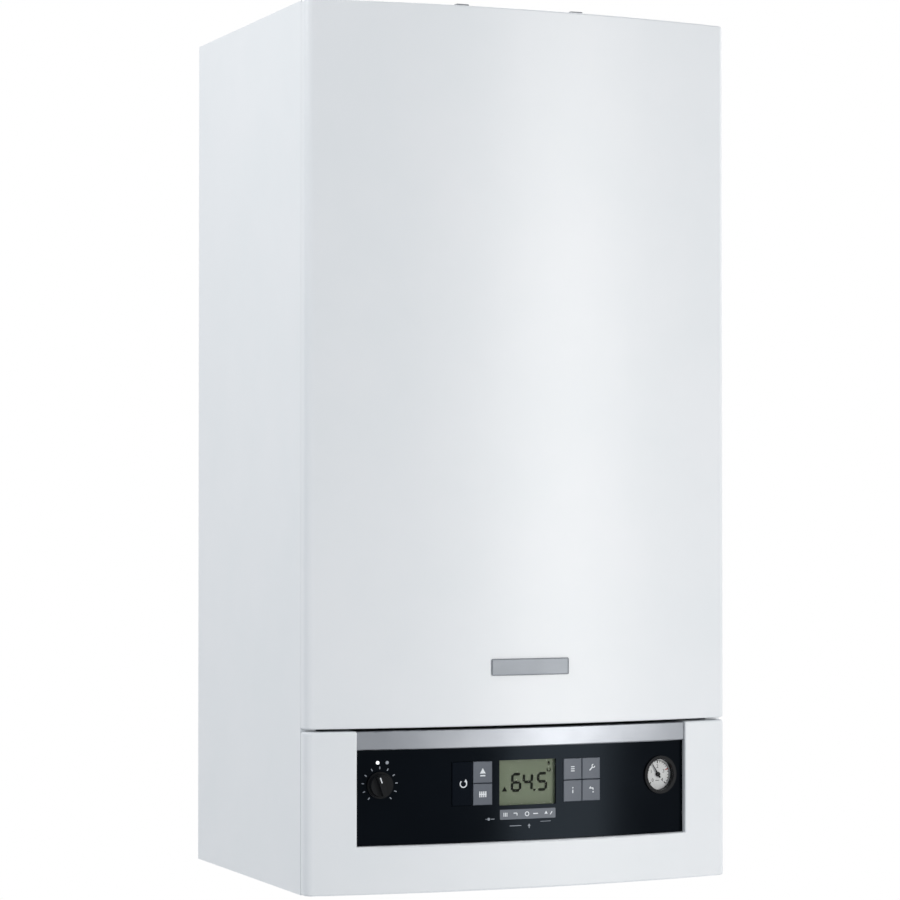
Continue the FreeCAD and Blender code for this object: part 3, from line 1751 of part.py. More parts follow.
def gas_valve():
    """The block of the gas valve with two coils on its front."""
    body = body_at("gas_valve", -valve_offset, s.valve_back, valve_bottom)
    half = s.valve_width / 2
    block = rounded_rectangle(-half, -s.valve_depth, half, ZERO, s.valve_edge)
    pad(body, "XY", [block], s.valve_height)
    coils = [Circle(s.coil_pitch / 2 * side, s.valve_height / 2, s.coil_radius) for side in SIDES]
    pad(body, "XZ", coils, s.coil_length, s.valve_depth)
    return body


# Water circuit

def plate_heat_exchanger():
    """The stack of plates that heats the tap water, grooved all round between the plates."""
    body = body_at("plate_heat_exchanger", ZERO, s.plate_stack_back, s.stub_top)
    half = plate_stack_half
    high = s.plate_stack_height
    pad(body, "XZ", [rounded_rectangle(-half, ZERO, half, high, s.plate_stack_edge)], s.plate_stack_depth)
    deep = s.plate_groove_deep
    outer = rectangle(-half - s.overrun, -s.overrun, half + s.overrun, high + s.overrun)
    inner = rounded_rectangle(deep - half, deep, half - deep, high - deep, s.plate_stack_edge - deep)
    first = cut(body, "XZ", [outer, inner], s.plate_groove, s.plate_stack_depth - s.plate_pitch)
    pattern_along(body, first, "Y_Axis", s.plate_pitch, s.plate_grooves)
    return body


def diverter_valve():
    """The upright valve that sends hot water to the heating or to the plate stack."""
    body = body_at("diverter_valve", -heating_x, s.stub_back, s.stub_top)
    neck = s.diverter_neck
    low = s.diverter_neck_rise
    high = s.diverter_height - s.diverter_neck_rise
    profile = [
        (ZERO, ZERO),
        (neck, ZERO),
        (neck, low),
        (s.diverter_radius, low),
        (s.diverter_radius, high),
        (neck, high),
        (neck, s.diverter_height),
        (ZERO, s.diverter_height),
    ]
    revolve(body, "XZ", profile)
    pad(body, "YZ", [Circle(ZERO, s.port_height, s.diverter_port)], heating_x - plate_stack_half)
    pad(body, "XZ", [Circle(ZERO, s.diverter_height / 2, s.actuator_seat)], s.actuator_seat_depth)
    return body


def valve_actuator():
    """The small motor on the front of the diverter valve."""
    depth = s.stub_back + s.actuator_seat_depth
    body = body_at("valve_actuator", -heating_x, depth, s.stub_top + s.diverter_height / 2)
    pad(body, "XZ", [Circle(ZERO, ZERO, s.actuator_radius)], s.actuator_depth)
    fillet(body, s.actuator_edge, lambda edge: near(middle(edge).y, -s.actuator_depth))
    return body


def pump_body():
    """The cast pump chamber with its ports down, up and to both sides, and the seat of the air vent."""
    body = body_at("pump_body", heating_x, s.pump_back, s.pump_height)
    port_y = s.pump_back - s.stub_back
    pad(body, "XZ", [Circle(ZERO, ZERO, s.pump_radius)], s.pump_depth)
    port = Circle(ZERO, port_y, s.pump_port)
    pad(body, "XY", [port], s.pump_port_top - s.stub_top, s.stub_top - s.pump_height)
    pad(body, "XY", [Circle(-s.vent_offset, port_y, s.vent_boss)], s.vent_seat - s.pump_height)
    side_port = Circle(port_y, s.stub_top + s.port_height - s.pump_height, s.diverter_port)
    pad(body, "YZ", [side_port], heating_x - plate_stack_half, reverse=True)
    pad(body, "YZ", [Circle(port_y, ZERO, s.relief_tail)], s.relief_offset - s.relief_radius)
    return body


def pump_motor():
    """The motor on the front of the pump."""
    body = body_at("pump_motor", heating_x, s.pump_back + s.pump_depth, s.pump_height)
    pad(body, "XZ", [Circle(ZERO, ZERO, s.pump_motor_radius)], s.pump_motor_depth)
    fillet(body, s.pump_motor_edge, lambda edge: near(middle(edge).y, -s.pump_motor_depth))
    return body


def air_vent():
    """The float vent on top of the pump."""
    body = body_at("air_vent", heating_x - s.vent_offset, s.stub_back, s.vent_seat)
    top = s.vent_height + s.vent_cap_rise
    profile = [
        (ZERO, ZERO),
        (s.vent_radius, ZERO),
        (s.vent_radius, s.vent_height),
        (s.vent_cap, s.vent_height),
        (s.vent_cap, top),
        (ZERO, top),
    ]
    revolve(body, "XZ", profile)
    return body


def relief_valve():
    """The safety valve beside the pump, with its drain down through the connection plate."""
    body = body_at("relief_valve", relief_x, s.relief_back, s.pump_height)
    pad(body, "XZ", [Circle(ZERO, ZERO, s.relief_radius)], s.relief_depth)
    tail_y = s.relief_back - s.stub_back
    pad(body, "XY", [Circle(ZERO, tail_y, s.relief_tail)], s.pump_height - s.drain_nose, reverse=True)
    nose = Circle(ZERO, tail_y, s.relief_tail - s.drain_step)
    pad(body, "XY", [nose], s.pump_height - s.stub_bottom, reverse=True)
    bore = Circle(ZERO, tail_y, s.relief_tail - s.drain_step - s.pipe_wall)
    cut(body, "XY", [bore], s.pump_height - s.stub_bottom)
    pad(body, "XZ", [Circle(ZERO, ZERO, s.relief_stem)], s.relief_stem_reach, s.relief_depth)
    return body


def relief_knob():
    """The fluted cap that opens the safety valve by a turn."""
    depth = s.relief_back + s.relief_depth + s.relief_knob_gap
    body = body_at("relief_knob", relief_x, depth, s.pump_height)
    bore = s.relief_stem + s.shaft_play
    profile = [
        (ZERO, -s.relief_knob_depth),
        (s.relief_knob_radius, -s.relief_knob_depth),
        (s.relief_knob_radius, ZERO),
        (bore, ZERO),
        (bore, -s.relief_stem_reach),
        (ZERO, -s.relief_stem_reach),
    ]
    revolve(body, "XY", profile)
    flute = Circle(s.relief_knob_radius, ZERO, s.flute_radius)
    depth = s.relief_knob_depth + s.overrun * 2
    first = cut(body, "XZ", [flute], depth, s.relief_knob_depth + s.overrun)
    pattern_round(body, first, "Y_Axis", s.knob_flutes)
    return body


def build():
    """Every piece of the boiler, from the wall outwards."""
    pieces = [
        wall_bracket(),
        rear_frame(),
        side_panel("left_side_panel", -1),
        side_panel("right_side_panel", 1),
        top_panel(),
        connection_plate(),
        support_shelf(),
        front_cover(),
        cover_seal(),
        cover_catches(),
        lower_panel(),
        control_fascia(),
        trim_strip(),
        control_box(),
        hinge_pins(),
        control_board(),
        display_module(),
        display_lens(),
        indicator_lamps(),
        selector_switch(),
        selector_knob(),
        gauge_case(),
        gauge_dial(),
        gauge_needle(),
        gauge_lens(),
    ]
    pieces += [key(*cell) for cell in key_cells()]
    pieces += [
        pipe_stubs(),
        expansion_vessel(),
        heat_exchanger(),
        burner(),
        burner_hood(),
        ignition_electrodes(),
        condensate_sump(),
        condensate_trap(),
        flue_duct(),
        flue_collar(),
        fan_housing(),
        fan_motor(),
        fan_impeller(),
        venturi_mixer(),
        gas_valve(),
        gas_pipe(),
        gas_feed_pipe(),
        flow_pipe(),
        return_pipe(),
        plate_heat_exchanger(),
        diverter_valve(),
        valve_actuator(),
        pump_body(),
        pump_motor(),
        air_vent(),
        relief_valve(),
        relief_knob(),
    ]
    return pieces


def write_parts(pieces):
    """Checks every object of the document, then writes each piece to its own file."""
    document.recompute()
    for item in document.Objects:
        if "Invalid" in item.State or "Error" in item.State:
            raise RuntimeError(f"{item.Label} did not build: {item.State}")
    os.makedirs("parts", exist_ok=True)
    for piece in pieces:
        shape = piece.Shape
        if shape.isNull() or not shape.isValid() or not shape.Solids:
            raise RuntimeError(f"{piece.Label} has no valid solid")
        shape.exportStep(f"parts/{piece.Label}.step")


write_parts(build())
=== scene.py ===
"""The looks of a wall-hung gas boiler with a bowed white front and a black control fascia.

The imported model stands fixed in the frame. This script gives every piece of it its material, adds
the printed marks, the display's figures, the blank plate and the small fasteners, and sets up the
studio.
"""

import logging
import math
from contextlib import contextmanager
from dataclasses import dataclass, field
from enum import Enum
from typing import Any, Callable, Iterator, Protocol

import bmesh
import bpy
from mathutils import Matrix, Vector
from mathutils.bvhtree import BVHTree


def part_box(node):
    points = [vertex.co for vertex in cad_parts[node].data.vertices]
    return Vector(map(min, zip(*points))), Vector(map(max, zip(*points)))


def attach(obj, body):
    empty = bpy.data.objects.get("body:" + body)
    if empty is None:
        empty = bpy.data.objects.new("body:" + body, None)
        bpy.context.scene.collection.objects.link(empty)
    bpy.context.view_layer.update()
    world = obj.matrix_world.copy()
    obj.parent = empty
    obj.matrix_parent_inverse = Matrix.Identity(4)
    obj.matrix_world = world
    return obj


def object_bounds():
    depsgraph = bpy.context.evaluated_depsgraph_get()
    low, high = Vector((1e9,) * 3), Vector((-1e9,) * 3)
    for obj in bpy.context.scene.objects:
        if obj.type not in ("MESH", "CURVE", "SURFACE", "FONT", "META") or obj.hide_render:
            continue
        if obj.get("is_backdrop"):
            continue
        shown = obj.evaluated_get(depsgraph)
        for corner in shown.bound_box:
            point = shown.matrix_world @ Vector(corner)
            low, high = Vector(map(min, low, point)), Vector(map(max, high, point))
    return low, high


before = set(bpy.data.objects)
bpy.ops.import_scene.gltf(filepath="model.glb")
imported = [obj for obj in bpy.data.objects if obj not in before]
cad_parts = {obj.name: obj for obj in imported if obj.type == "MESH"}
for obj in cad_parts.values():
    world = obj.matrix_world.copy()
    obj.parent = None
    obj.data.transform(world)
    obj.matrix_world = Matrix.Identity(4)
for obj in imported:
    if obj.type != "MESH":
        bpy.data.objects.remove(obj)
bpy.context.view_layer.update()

Point = tuple[float, float]
Point3 = tuple[float, float, float]
Piece = bpy.types.Object

LOG = logging.getLogger("boiler")
MM = 0.001
HANG_HEIGHT = 715.0  # the bracket's middle above the casing's bottom edge, in mm
BOW_RADIUS = 1132.025  # the bowed front of the casing, in mm
BOW_CENTRE = 782.025  # the middle of that bow, behind the wall, in mm
FASCIA_DEPTH = 6.0  # how far the fascia lies behind that bow, in mm
KEY_RISE = 1.2  # how far the keys stand out of the fascia, in mm
FASCIA_RADIUS = BOW_RADIUS - FASCIA_DEPTH
KEY_RADIUS = FASCIA_RADIUS + KEY_RISE
DIAL_LEVEL = 102.0  # the axes of knob and gauge above the casing's bottom edge, in mm
UP: Point3 = (0.0, 0.0, 1.0)
DOWN: Point3 = (0.0, 0.0, -1.0)
FORWARDS: Point3 = (0.0, -1.0, 0.0)
BACKWARDS: Point3 = (0.0, 1.0, 0.0)


# Materials

WHITE = "#ffffff"
TINT_ENDS = (0.3, 0.7)  # where on the cloud's height the two colours of a finish stand alone
CLOUD_DETAIL = 3.0  # octaves of the slow change of colour
GRIT_DETAIL = 4.0  # octaves of the grain
TRACK_WANDER = 0.85  # how far the tracks of a board leave a square grid
RELIEF_STRENGTH = 0.6
WELD_REACH = 0.002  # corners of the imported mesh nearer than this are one, in mm
CRISP_ANGLE = 32.0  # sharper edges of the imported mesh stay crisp, in degrees
EVEN_WEIGHT = 80  # how much the large faces count in shading


def linear(code: str) -> tuple[float, float, float, float]:
    """Turns an sRGB hex value into a linear colour, by the formula that defines sRGB.

    Args:
        code: Six hex digits after a hash sign.

    Returns:
        The linear red, green and blue, with an alpha of one.
    """
    shares = [int(code[place : place + 2], 16) / 255 for place in (1, 3, 5)]
    parts = [s / 12.92 if s <= 0.04045 else ((s + 0.055) / 1.055) ** 2.4 for s in shares]
    return (parts[0], parts[1], parts[2], 1.0)


def add_node(
    tree: bpy.types.NodeTree,
    kind: str,
    settings: dict[str, Any] | None = None,
    links: dict[str, bpy.types.NodeSocket] | None = None,
) -> bpy.types.Node:
    """Adds one node to a tree.

    Args:
        tree: The tree that takes the node.
        kind: Blender's name for the kind of node.
        settings: Values of its sockets and properties, by name.
        links: The outputs that its sockets are linked to, by name.

    Returns:
        The new node.
    """
    node = tree.nodes.new(kind)
    for name, value in (settings or {}).items():
        if name in node.inputs:
            node.inputs[name].default_value = value
        else:
            setattr(node, name, value)
    for name, source in (links or {}).items():
        tree.links.new(source, node.inputs[name])
    return node


class Grain(Enum):
    """What the surface of a material shows close up."""

    PEBBLED = "fine rounded bumps, as of powder coat or a spark-eroded mould"
    BRUSHED = "fine lines in one direction"
    SPANGLED = "flat crystals of zinc"
    CELLED = "open cells of foam"
    TRACED = "copper tracks under lacquer"


@dataclass(frozen=True)
class Finish:
    """A real material with the way its surface was made.

    The colour wanders between two close values, on zinc and on a board with the grain and slowly
    on everything else. The grain drives roughness and relief.
    """

    name: str
    colour: str
    second: str
    roughness: float
    swing: float  # how far the roughness goes up and down with the grain
    metallic: float = 0.0
    grain: Grain = Grain.PEBBLED
    grain_mm: float = 1.0
    relief_mm: float = 0.01
    cloud_mm: float = 80.0  # the size of the slow changes of colour
    stretch: Point3 = (1.0, 1.0, 1.0)  # how dense the grain is along each axis
    specular: float = 0.5
    tint: str = WHITE  # the colour of its highlights
    coat: float = 0.0
    alpha: float = 1.0
    glow: float = 0.0

    def material(self) -> bpy.types.Material:
        """Builds the material once and gives the same one after that.

        Returns:
            The material.
        """
        found = bpy.data.materials.get(self.name)
        if found is not None:
            return found
        made = bpy.data.materials.new(self.name)
        made.use_nodes = True
        tree = made.node_tree
        shader = tree.nodes["Principled BSDF"]
        place = add_node(tree, "ShaderNodeTexCoord")
        spread = add_node(
            tree,
            "ShaderNodeMapping",
            {"Scale": self.stretch},
            {"Vector": place.outputs["Object"]},
        )
        height = self.pattern(tree, spread.outputs["Vector"])
        cloud = height
        if self.grain in (Grain.PEBBLED, Grain.BRUSHED, Grain.CELLED):
            broad = add_node(
                tree,
                "ShaderNodeTexNoise",
                {"Scale": 1 / (self.cloud_mm * MM), "Detail": CLOUD_DETAIL},
                {"Vector": place.outputs["Object"]},
            )
            cloud = broad.outputs["Fac"]
        hue = add_node(tree, "ShaderNodeValToRGB", {}, {"Fac": cloud})
        for stop, end, colour in zip(
            hue.color_ramp.elements, TINT_ENDS, (self.colour, self.second)
        ):
            stop.position = end
            stop.color = linear(colour)
        tree.links.new(hue.outputs["Color"], shader.inputs["Base Color"])
        gloss = add_node(
            tree,
            "ShaderNodeMapRange",
            {"To Min": self.roughness - self.swing, "To Max": self.roughness + self.swing},
            {"Value": height},
        )
        tree.links.new(gloss.outputs["Result"], shader.inputs["Roughness"])
        relief = add_node(
            tree,
            "ShaderNodeBump",
            {"Strength": RELIEF_STRENGTH, "Distance": self.relief_mm * MM},
            {"Height": height},
        )
        tree.links.new(relief.outputs["Normal"], shader.inputs["Normal"])
        shader.inputs["Metallic"].default_value = self.metallic
        shader.inputs["Specular IOR Level"].default_value = self.specular
        shader.inputs["Specular Tint"].default_value = linear(self.tint)
        shader.inputs["Coat Weight"].default_value = self.coat
        shader.inputs["Alpha"].default_value = self.alpha
        if self.glow:
            shader.inputs["Emission Color"].default_value = linear(self.colour)
            shader.inputs["Emission Strength"].default_value = self.glow
        return made

    def pattern(
        self, tree: bpy.types.NodeTree, place: bpy.types.NodeSocket
    ) -> bpy.types.NodeSocket:
        """Adds the nodes of the grain.

        Args:
            tree: The material's tree.
            place: The coordinates that the grain is drawn in.

        Returns:
            The socket with the grain's height, from zero to one.
        """
        settings: dict[str, Any] = {"Scale": 1 / (self.grain_mm * MM)}
        kind, output = "ShaderNodeTexVoronoi", "Distance"
        if self.grain is Grain.SPANGLED:
            output = "Color"
        elif self.grain is Grain.TRACED:
            settings |= {"distance": "MANHATTAN", "Randomness": TRACK_WANDER}
        elif self.grain is not Grain.CELLED:
            kind, output = "ShaderNodeTexNoise", "Fac"
            settings["Detail"] = GRIT_DETAIL
        return add_node(tree, kind, settings, {"Vector": place}).outputs[output]


def print_ink(name: str, colour: str, second: str) -> Finish:
    """Mixes a screen-printed ink, matt and even.

    Args:
        name: What the ink is.
        colour: Its colour.
        second: A colour close to it.

    Returns:
        The finish.
    """
    return Finish(
        name, colour, second, roughness=0.5, swing=0.04, grain_mm=0.4, relief_mm=0.003
    )


# Brush lines, board tracks and the grain of inks and key paints are drawn coarser than real ones,
# so that they show

# Powder-coated steel: satin, with an orange peel about 2 mm across that softens reflections
POWDER_COAT = Finish(
    "powder_coated_steel", "#eef1f4", "#ebeff2", roughness=0.34, swing=0.04, grain_mm=2.0,
    relief_mm=0.006,
)
# Zinc-coated sheet: dull crystals 5 mm across that barely differ in brightness
ZINC_SHEET = Finish(
    "zinc_coated_steel", "#a2a7ab", "#adb2b6", roughness=0.44, swing=0.05, metallic=1.0,
    grain=Grain.SPANGLED, grain_mm=5.0, relief_mm=0.001,
)
# Moulded ABS with a fine spark-eroded skin, as white as the casing
WHITE_ABS = Finish(
    "white_moulded_abs", "#eef1f4", "#ebeff2", roughness=0.4, swing=0.05, grain_mm=1.2,
    relief_mm=0.008,
)
# Polished moulding: near black, clear reflections, a trace of flow lines
GLOSS_BLACK = Finish(
    "gloss_black_abs", "#04060a", "#06090e", roughness=0.16, swing=0.03, grain_mm=30.0,
    relief_mm=0.01, specular=0.06, tint="#c4dcf4",
)
# Silver foil on a moulding, brushed along its length
SILVER_FOIL = Finish(
    "brushed_silver_foil", "#7a7e84", "#888c92", roughness=0.34, swing=0.06, metallic=0.85,
    grain=Grain.BRUSHED, grain_mm=0.6, relief_mm=0.004, stretch=(0.02, 1.0, 1.0),
)
# Grey moulded ABS: dull, with the fine bumps of an eroded mould
GREY_ABS = Finish(
    "grey_moulded_abs", "#63666b", "#6a6d72", roughness=0.5, swing=0.06, grain_mm=1.0,
    relief_mm=0.02,
)
# Black moulded ABS: satin, with soft and weak highlights
BLACK_ABS = Finish(
    "black_moulded_abs", "#0e1013", "#131518", roughness=0.38, swing=0.06, grain_mm=0.8,
    relief_mm=0.012, specular=0.12,
)
# Light grey nylon of the cover catches, dull and a little waxy
PALE_NYLON = Finish(
    "pale_grey_nylon", "#8a8d92", "#94979c", roughness=0.5, swing=0.06, grain_mm=1.0,
    relief_mm=0.012,
)
# Sprayed key paint: satin grey with a faint metallic fleck
KEY_GREY = Finish(
    "satin_grey_key_paint", "#525861", "#5c626b", roughness=0.4, swing=0.05, metallic=0.1,
    grain_mm=0.5, relief_mm=0.004, specular=0.25,
)
# Sprayed key paint in black, a little duller than the polished fascia round it
KEY_BLACK = Finish(
    "satin_black_key_paint", "#06090f", "#090d14", roughness=0.3, swing=0.04, grain_mm=0.5,
    relief_mm=0.004, specular=0.04, tint="#c4dcf4",
)
# Turned steel: bright, with tool marks that draw the highlights out
TURNED_STEEL = Finish(
    "turned_steel", "#a3a5a8", "#b4b6b8", roughness=0.28, swing=0.08, metallic=1.0,
    grain=Grain.BRUSHED, grain_mm=0.5, relief_mm=0.003, stretch=(1.0, 0.05, 1.0),
)
# Circuit board: green lacquer with square-cornered tracks in a lighter green
BOARD = Finish(
    "lacquered_circuit_board", "#0d4a2a", "#1a6a40", roughness=0.35, swing=0.08,
    grain=Grain.TRACED, grain_mm=5.0, relief_mm=0.03,
)
# Twisted liquid crystal over a grey-green reflector
LCD_GLASS = Finish(
    "liquid_crystal_glass", "#828e75", "#7d8971", roughness=0.3, swing=0.03, grain_mm=12.0,
    relief_mm=0.002, cloud_mm=40.0, specular=0.1,
)
# Clear acrylic: all but unseen, with a thin gleam
CLEAR_PMMA = Finish(
    "clear_acrylic", "#1d2221", "#232827", roughness=0.05, swing=0.02, grain_mm=20.0,
    relief_mm=0.002, specular=0.12, alpha=0.07,
)
# Printed card of the dial: plain matt white
DIAL_WHITE = Finish(
    "printed_dial_card", "#f5f7f7", "#eff1f1", roughness=0.5, swing=0.05, grain_mm=0.6,
    relief_mm=0.004,
)
# Foam rubber: black and matt, with open cells 1.4 mm across
FOAM = Finish(
    "foam_rubber", "#17181a", "#212225", roughness=0.85, swing=0.06, grain=Grain.CELLED,
    grain_mm=1.4, relief_mm=0.25,
)
# Polypropylene of the flue: off-white and a little waxy
FLUE_PP = Finish(
    "white_polypropylene", "#dcdcd6", "#e4e4df", roughness=0.45, swing=0.06, grain_mm=1.5,
    relief_mm=0.015,
)
# Stove enamel: deep red, with an orange peel 2.5 mm across
VESSEL_PAINT = Finish(
    "red_stove_enamel", "#8f1d18", "#98221c", roughness=0.36, swing=0.06, grain_mm=2.5,
    relief_mm=0.012,
)
# Sand-cast aluminium: a dull, pale grey skin with the grain of the sand
CAST_ALUMINIUM = Finish(
    "sand_cast_aluminium", "#a3a5a7", "#b4b6b7", roughness=0.5, swing=0.08, metallic=0.55,
    grain_mm=1.6, relief_mm=0.07,
)
# Black paint on castings: half gloss, with the casting's grain showing through
MOTOR_PAINT = Finish(
    "black_painted_castings", "#1c1d20", "#26282b", roughness=0.4, swing=0.08, metallic=0.2,
    grain_mm=1.2, relief_mm=0.03,
)
# Stainless sheet: pale and warm, brushed one way
STAINLESS = Finish(
    "brushed_stainless_steel", "#a7a6a2", "#bab9b5", roughness=0.32, swing=0.08, metallic=1.0,
    grain=Grain.BRUSHED, grain_mm=0.7, relief_mm=0.003, stretch=(0.03, 1.0, 1.0),
)
# Glass-filled nylon: dark grey and dull, rough with fibre ends
FAN_NYLON = Finish(
    "glass_filled_nylon", "#232427", "#2d2e31", roughness=0.5, swing=0.07, grain_mm=0.9,
    relief_mm=0.025,
)
# Drawn copper tube: bright with darker clouds of handling
COPPER = Finish(
    "drawn_copper", "#c07a55", "#ca8762", roughness=0.3, swing=0.04, metallic=0.9, grain_mm=6.0,
    relief_mm=0.002, cloud_mm=60.0,
)
# Hot-pressed brass: a warm yellow, grainy skin with slow clouds
BRASS = Finish(
    "pressed_brass", "#b89a58", "#c4a866", roughness=0.36, swing=0.06, metallic=0.9,
    grain_mm=1.4, relief_mm=0.015, cloud_mm=40.0,
)
# Glazed ceramic: white and glassy
CERAMIC = Finish(
    "glazed_ceramic", "#e7e4dc", "#ece9e2", roughness=0.2, swing=0.04, grain_mm=4.0,
    relief_mm=0.006, coat=0.3,
)
# Matt chrome on a pressed plate: a hazed sheen that never mirrors a lamp
SATIN_CHROME = Finish(
    "satin_chrome", "#777c82", "#868b91", roughness=0.5, swing=0.06, metallic=0.7,
    grain=Grain.BRUSHED, grain_mm=0.5, relief_mm=0.003, stretch=(0.03, 1.0, 1.0),
)
# Screen-printed inks: flat, matt lines with no sheen of their own
WHITE_INK = print_ink("white_print_ink", "#e9edf0", "#dfe4e8")
GREY_INK = print_ink("grey_print_ink", "#8b929b", "#959ca5")
SLATE_INK = print_ink("slate_grey_print_ink", "#5d646d", "#666d76")
DARK_INK = print_ink("black_print_ink", "#15181a", "#1d2022")
RED_INK = print_ink("red_print_ink", "#b3261e", "#a8221b")
# Dark segments of a liquid crystal: black with a breath of green, and almost no shine
LCD_INK = Finish(
    "dark_display_segments", "#0a0e09", "#0f140d", roughness=0.5, swing=0.03, grain_mm=0.4,
    relief_mm=0.002, specular=0.05,
)
# Diffuser of a lamp that is lit: a soft white glow
LIT_LAMP = Finish(
    "lit_lamp_diffuser", "#fbfdff", "#f2f7fb", roughness=0.3, swing=0.03, grain_mm=1.0,
    relief_mm=0.003, glow=0.6,
)


def dress(node: str, finish: Finish) -> None:
    """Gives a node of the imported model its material, and shades its curved faces smoothly.

    Args:
        node: The node's name.
        finish: The material that it is made of.
    """
    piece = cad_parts[node]
    mesh = piece.data
    mesh.materials.clear()
    mesh.materials.append(finish.material())
    mesh.polygons.foreach_set("material_index", [0] * len(mesh.polygons))
    mesh.polygons.foreach_set("use_smooth", [True] * len(mesh.polygons))
    weld = piece.modifiers.new("joined_corners", "WELD")
    weld.merge_threshold = WELD_REACH * MM
    split = piece.modifiers.new("crisp_edges", "EDGE_SPLIT")
    split.split_angle = math.radians(CRISP_ANGLE)
    split.use_edge_sharp = False
    piece.modifiers.new("even_shading", "WEIGHTED_NORMAL").weight = EVEN_WEIGHT
    LOG.info("dressed %s in %s", node, finish.name)


def dress_all(finishes: dict[str, Finish]) -> None:
    """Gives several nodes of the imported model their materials.

    Args:
        finishes: The material of each node, by the node's name.
    """
    for node, finish in finishes.items():
        dress(node, finish)


# Modelling

LEVEL_GAP = 1e-6  # corners this near to a level count as on it, in metres
FULL_TURN = 360.0  # in degrees
DISC_SIDES = 20
SMALL_DISC_SIDES = 16
TRIANGLE = 3


class Element(Enum):
    """What is picked in edit mode, by Blender's names."""

    FACE = "FACE"
    EDGE = "EDGE"


def deselect() -> None:
    """Leaves nothing selected, in object mode."""
    bpy.ops.object.select_all(action="DESELECT")


def choose(piece: Piece) -> None:
    """Leaves one piece selected and active, in object mode.

    Args:
        piece: The piece.
    """
    deselect()
    piece.select_set(True)
    bpy.context.view_layer.objects.active = piece


@contextmanager
def edit_mode(piece: Piece) -> Iterator[None]:
    """Opens a piece in edit mode with nothing selected.

    Args:
        piece: The piece to shape.

    Yields:
        Nothing.
    """
    choose(piece)
    bpy.ops.object.mode_set(mode="EDIT")
    bpy.ops.mesh.select_mode(type=Element.FACE.value)
    bpy.ops.mesh.select_all(action="DESELECT")
    yield
    bpy.ops.object.mode_set(mode="OBJECT")


def pick(piece: Piece, element: Element, test: Callable[[Any], bool]) -> None:
    """Selects the faces or the edges that pass a test, and no others.

    Args:
        piece: The piece in edit mode.
        element: Whether faces or edges are picked.
        test: Says whether a face or an edge is chosen.
    """
    bpy.ops.mesh.select_mode(type=element.value)
    bpy.ops.mesh.select_all(action="DESELECT")
    shape = bmesh.from_edit_mesh(piece.data)
    for item in shape.faces if element is Element.FACE else shape.edges:
        item.select_set(test(item))
    bmesh.update_edit_mesh(piece.data)


def settle_mesh(piece: Piece) -> None:
    """Puts a piece's place into its mesh and turns its faces outwards.

    Args:
        piece: The piece.
    """
    choose(piece)
    bpy.ops.object.transform_apply(location=True, rotation=True, scale=True)
    with edit_mode(piece):
        bpy.ops.mesh.select_all(action="SELECT")
        bpy.ops.mesh.normals_make_consistent(inside=False)


def join(parts: list[Piece], name: str) -> Piece:
    """Joins several meshes into one piece.

    Args:
        parts: The meshes.
        name: The name of the piece.

    Returns:
        The piece.
    """
    deselect()
    for part in parts:
        part.select_set(True)
    bpy.context.view_layer.objects.active = parts[0]
    if len(parts) > 1:
        bpy.ops.object.join()
    piece = bpy.context.view_layer.objects.active
    piece.name = name
    piece.data.name = name
    return piece


def hand_over(piece: Piece, body: str, finish: Finish) -> None:
    """Gives a new piece its material and its place in the object.

    Args:
        piece: The piece.
        body: The body that it moves with.
        finish: Its material.
    """
    piece.data.materials.clear()
    piece.data.materials.append(finish.material())
    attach(piece, body)
    LOG.info("made %s on %s in %s", piece.name, body, finish.name)


def front_of(node: str, outwards: Vector) -> float:
    """How far a node reaches along a direction.

    Args:
        node: The node's name.
        outwards: The direction.

    Returns:
        The reach from the frame's zero, in metres.
    """
    return max(corner.co.dot(outwards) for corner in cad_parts[node].data.vertices)


def hit(node: str, start: Vector, direction: Vector) -> tuple[Vector, Vector] | None:
    """Finds where a straight line first meets a node.

    Args:
        node: The node's name.
        start: A point outside it.
        direction: The way the line goes.

    Returns:
        The point and the face's normal, or nothing where the line misses.
    """
    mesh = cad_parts[node].data
    tree = BVHTree.FromPolygons([v.co for v in mesh.vertices], [p.vertices for p in mesh.polygons])
    place, normal, _, _ = tree.ray_cast(start, direction)
    if place is None:
        return None
    return place, (normal if normal.dot(direction) < 0 else -normal)


def clockwise(turn: float) -> Vector:
    """The direction at a turn in degrees, clockwise from straight up, as (x, z)."""
    return Vector((math.sin(math.radians(turn)), math.cos(math.radians(turn))))


def shifted(point: Point, by: Point) -> Point:
    """Moves a point, as (x, z)."""
    return (point[0] + by[0], point[1] + by[1])


def bow_front(radius: float, x: float) -> float:
    """Where a bow's front lies at a distance from the middle, as y in millimetres."""
    return BOW_CENTRE - math.sqrt(radius**2 - x * x)


class Seat(Protocol):
    """A surface that flat marks are laid on."""

    def lay(self, piece: Piece) -> None:
        """Moves a piece drawn flat, in millimetres, onto the surface."""


@dataclass(frozen=True)
class BowSeat:
    """The bowed front of the casing, of the fascia or of a key."""

    radius: float

    def lay(self, piece: Piece) -> None:
        """Moves a piece drawn flat, in millimetres above the casing's bottom edge, onto the bow.

        Args:
            piece: The piece.
        """
        for corner in piece.data.vertices:
            x, y, z = corner.co
            corner.co = Vector((x, bow_front(self.radius, x) + y, z - HANG_HEIGHT)) * MM
        piece.data.update()


@dataclass(frozen=True)
class FlatSeat:
    """A flat face that looks out at an angle from straight ahead, such as a dial on the bow."""

    middle: Vector
    angle: float = 0.0
    spin: float = 0.0

    def lay(self, piece: Piece) -> None:
        """Moves a piece drawn flat round zero, in millimetres, onto the face.

        Args:
            piece: The piece.
        """
        turn = Matrix.Rotation(self.angle, 4, "Z") @ Matrix.Rotation(-self.spin, 4, "Y")
        piece.data.transform(Matrix.Translation(self.middle) @ turn @ Matrix.Scale(MM, 4))
        piece.data.update()


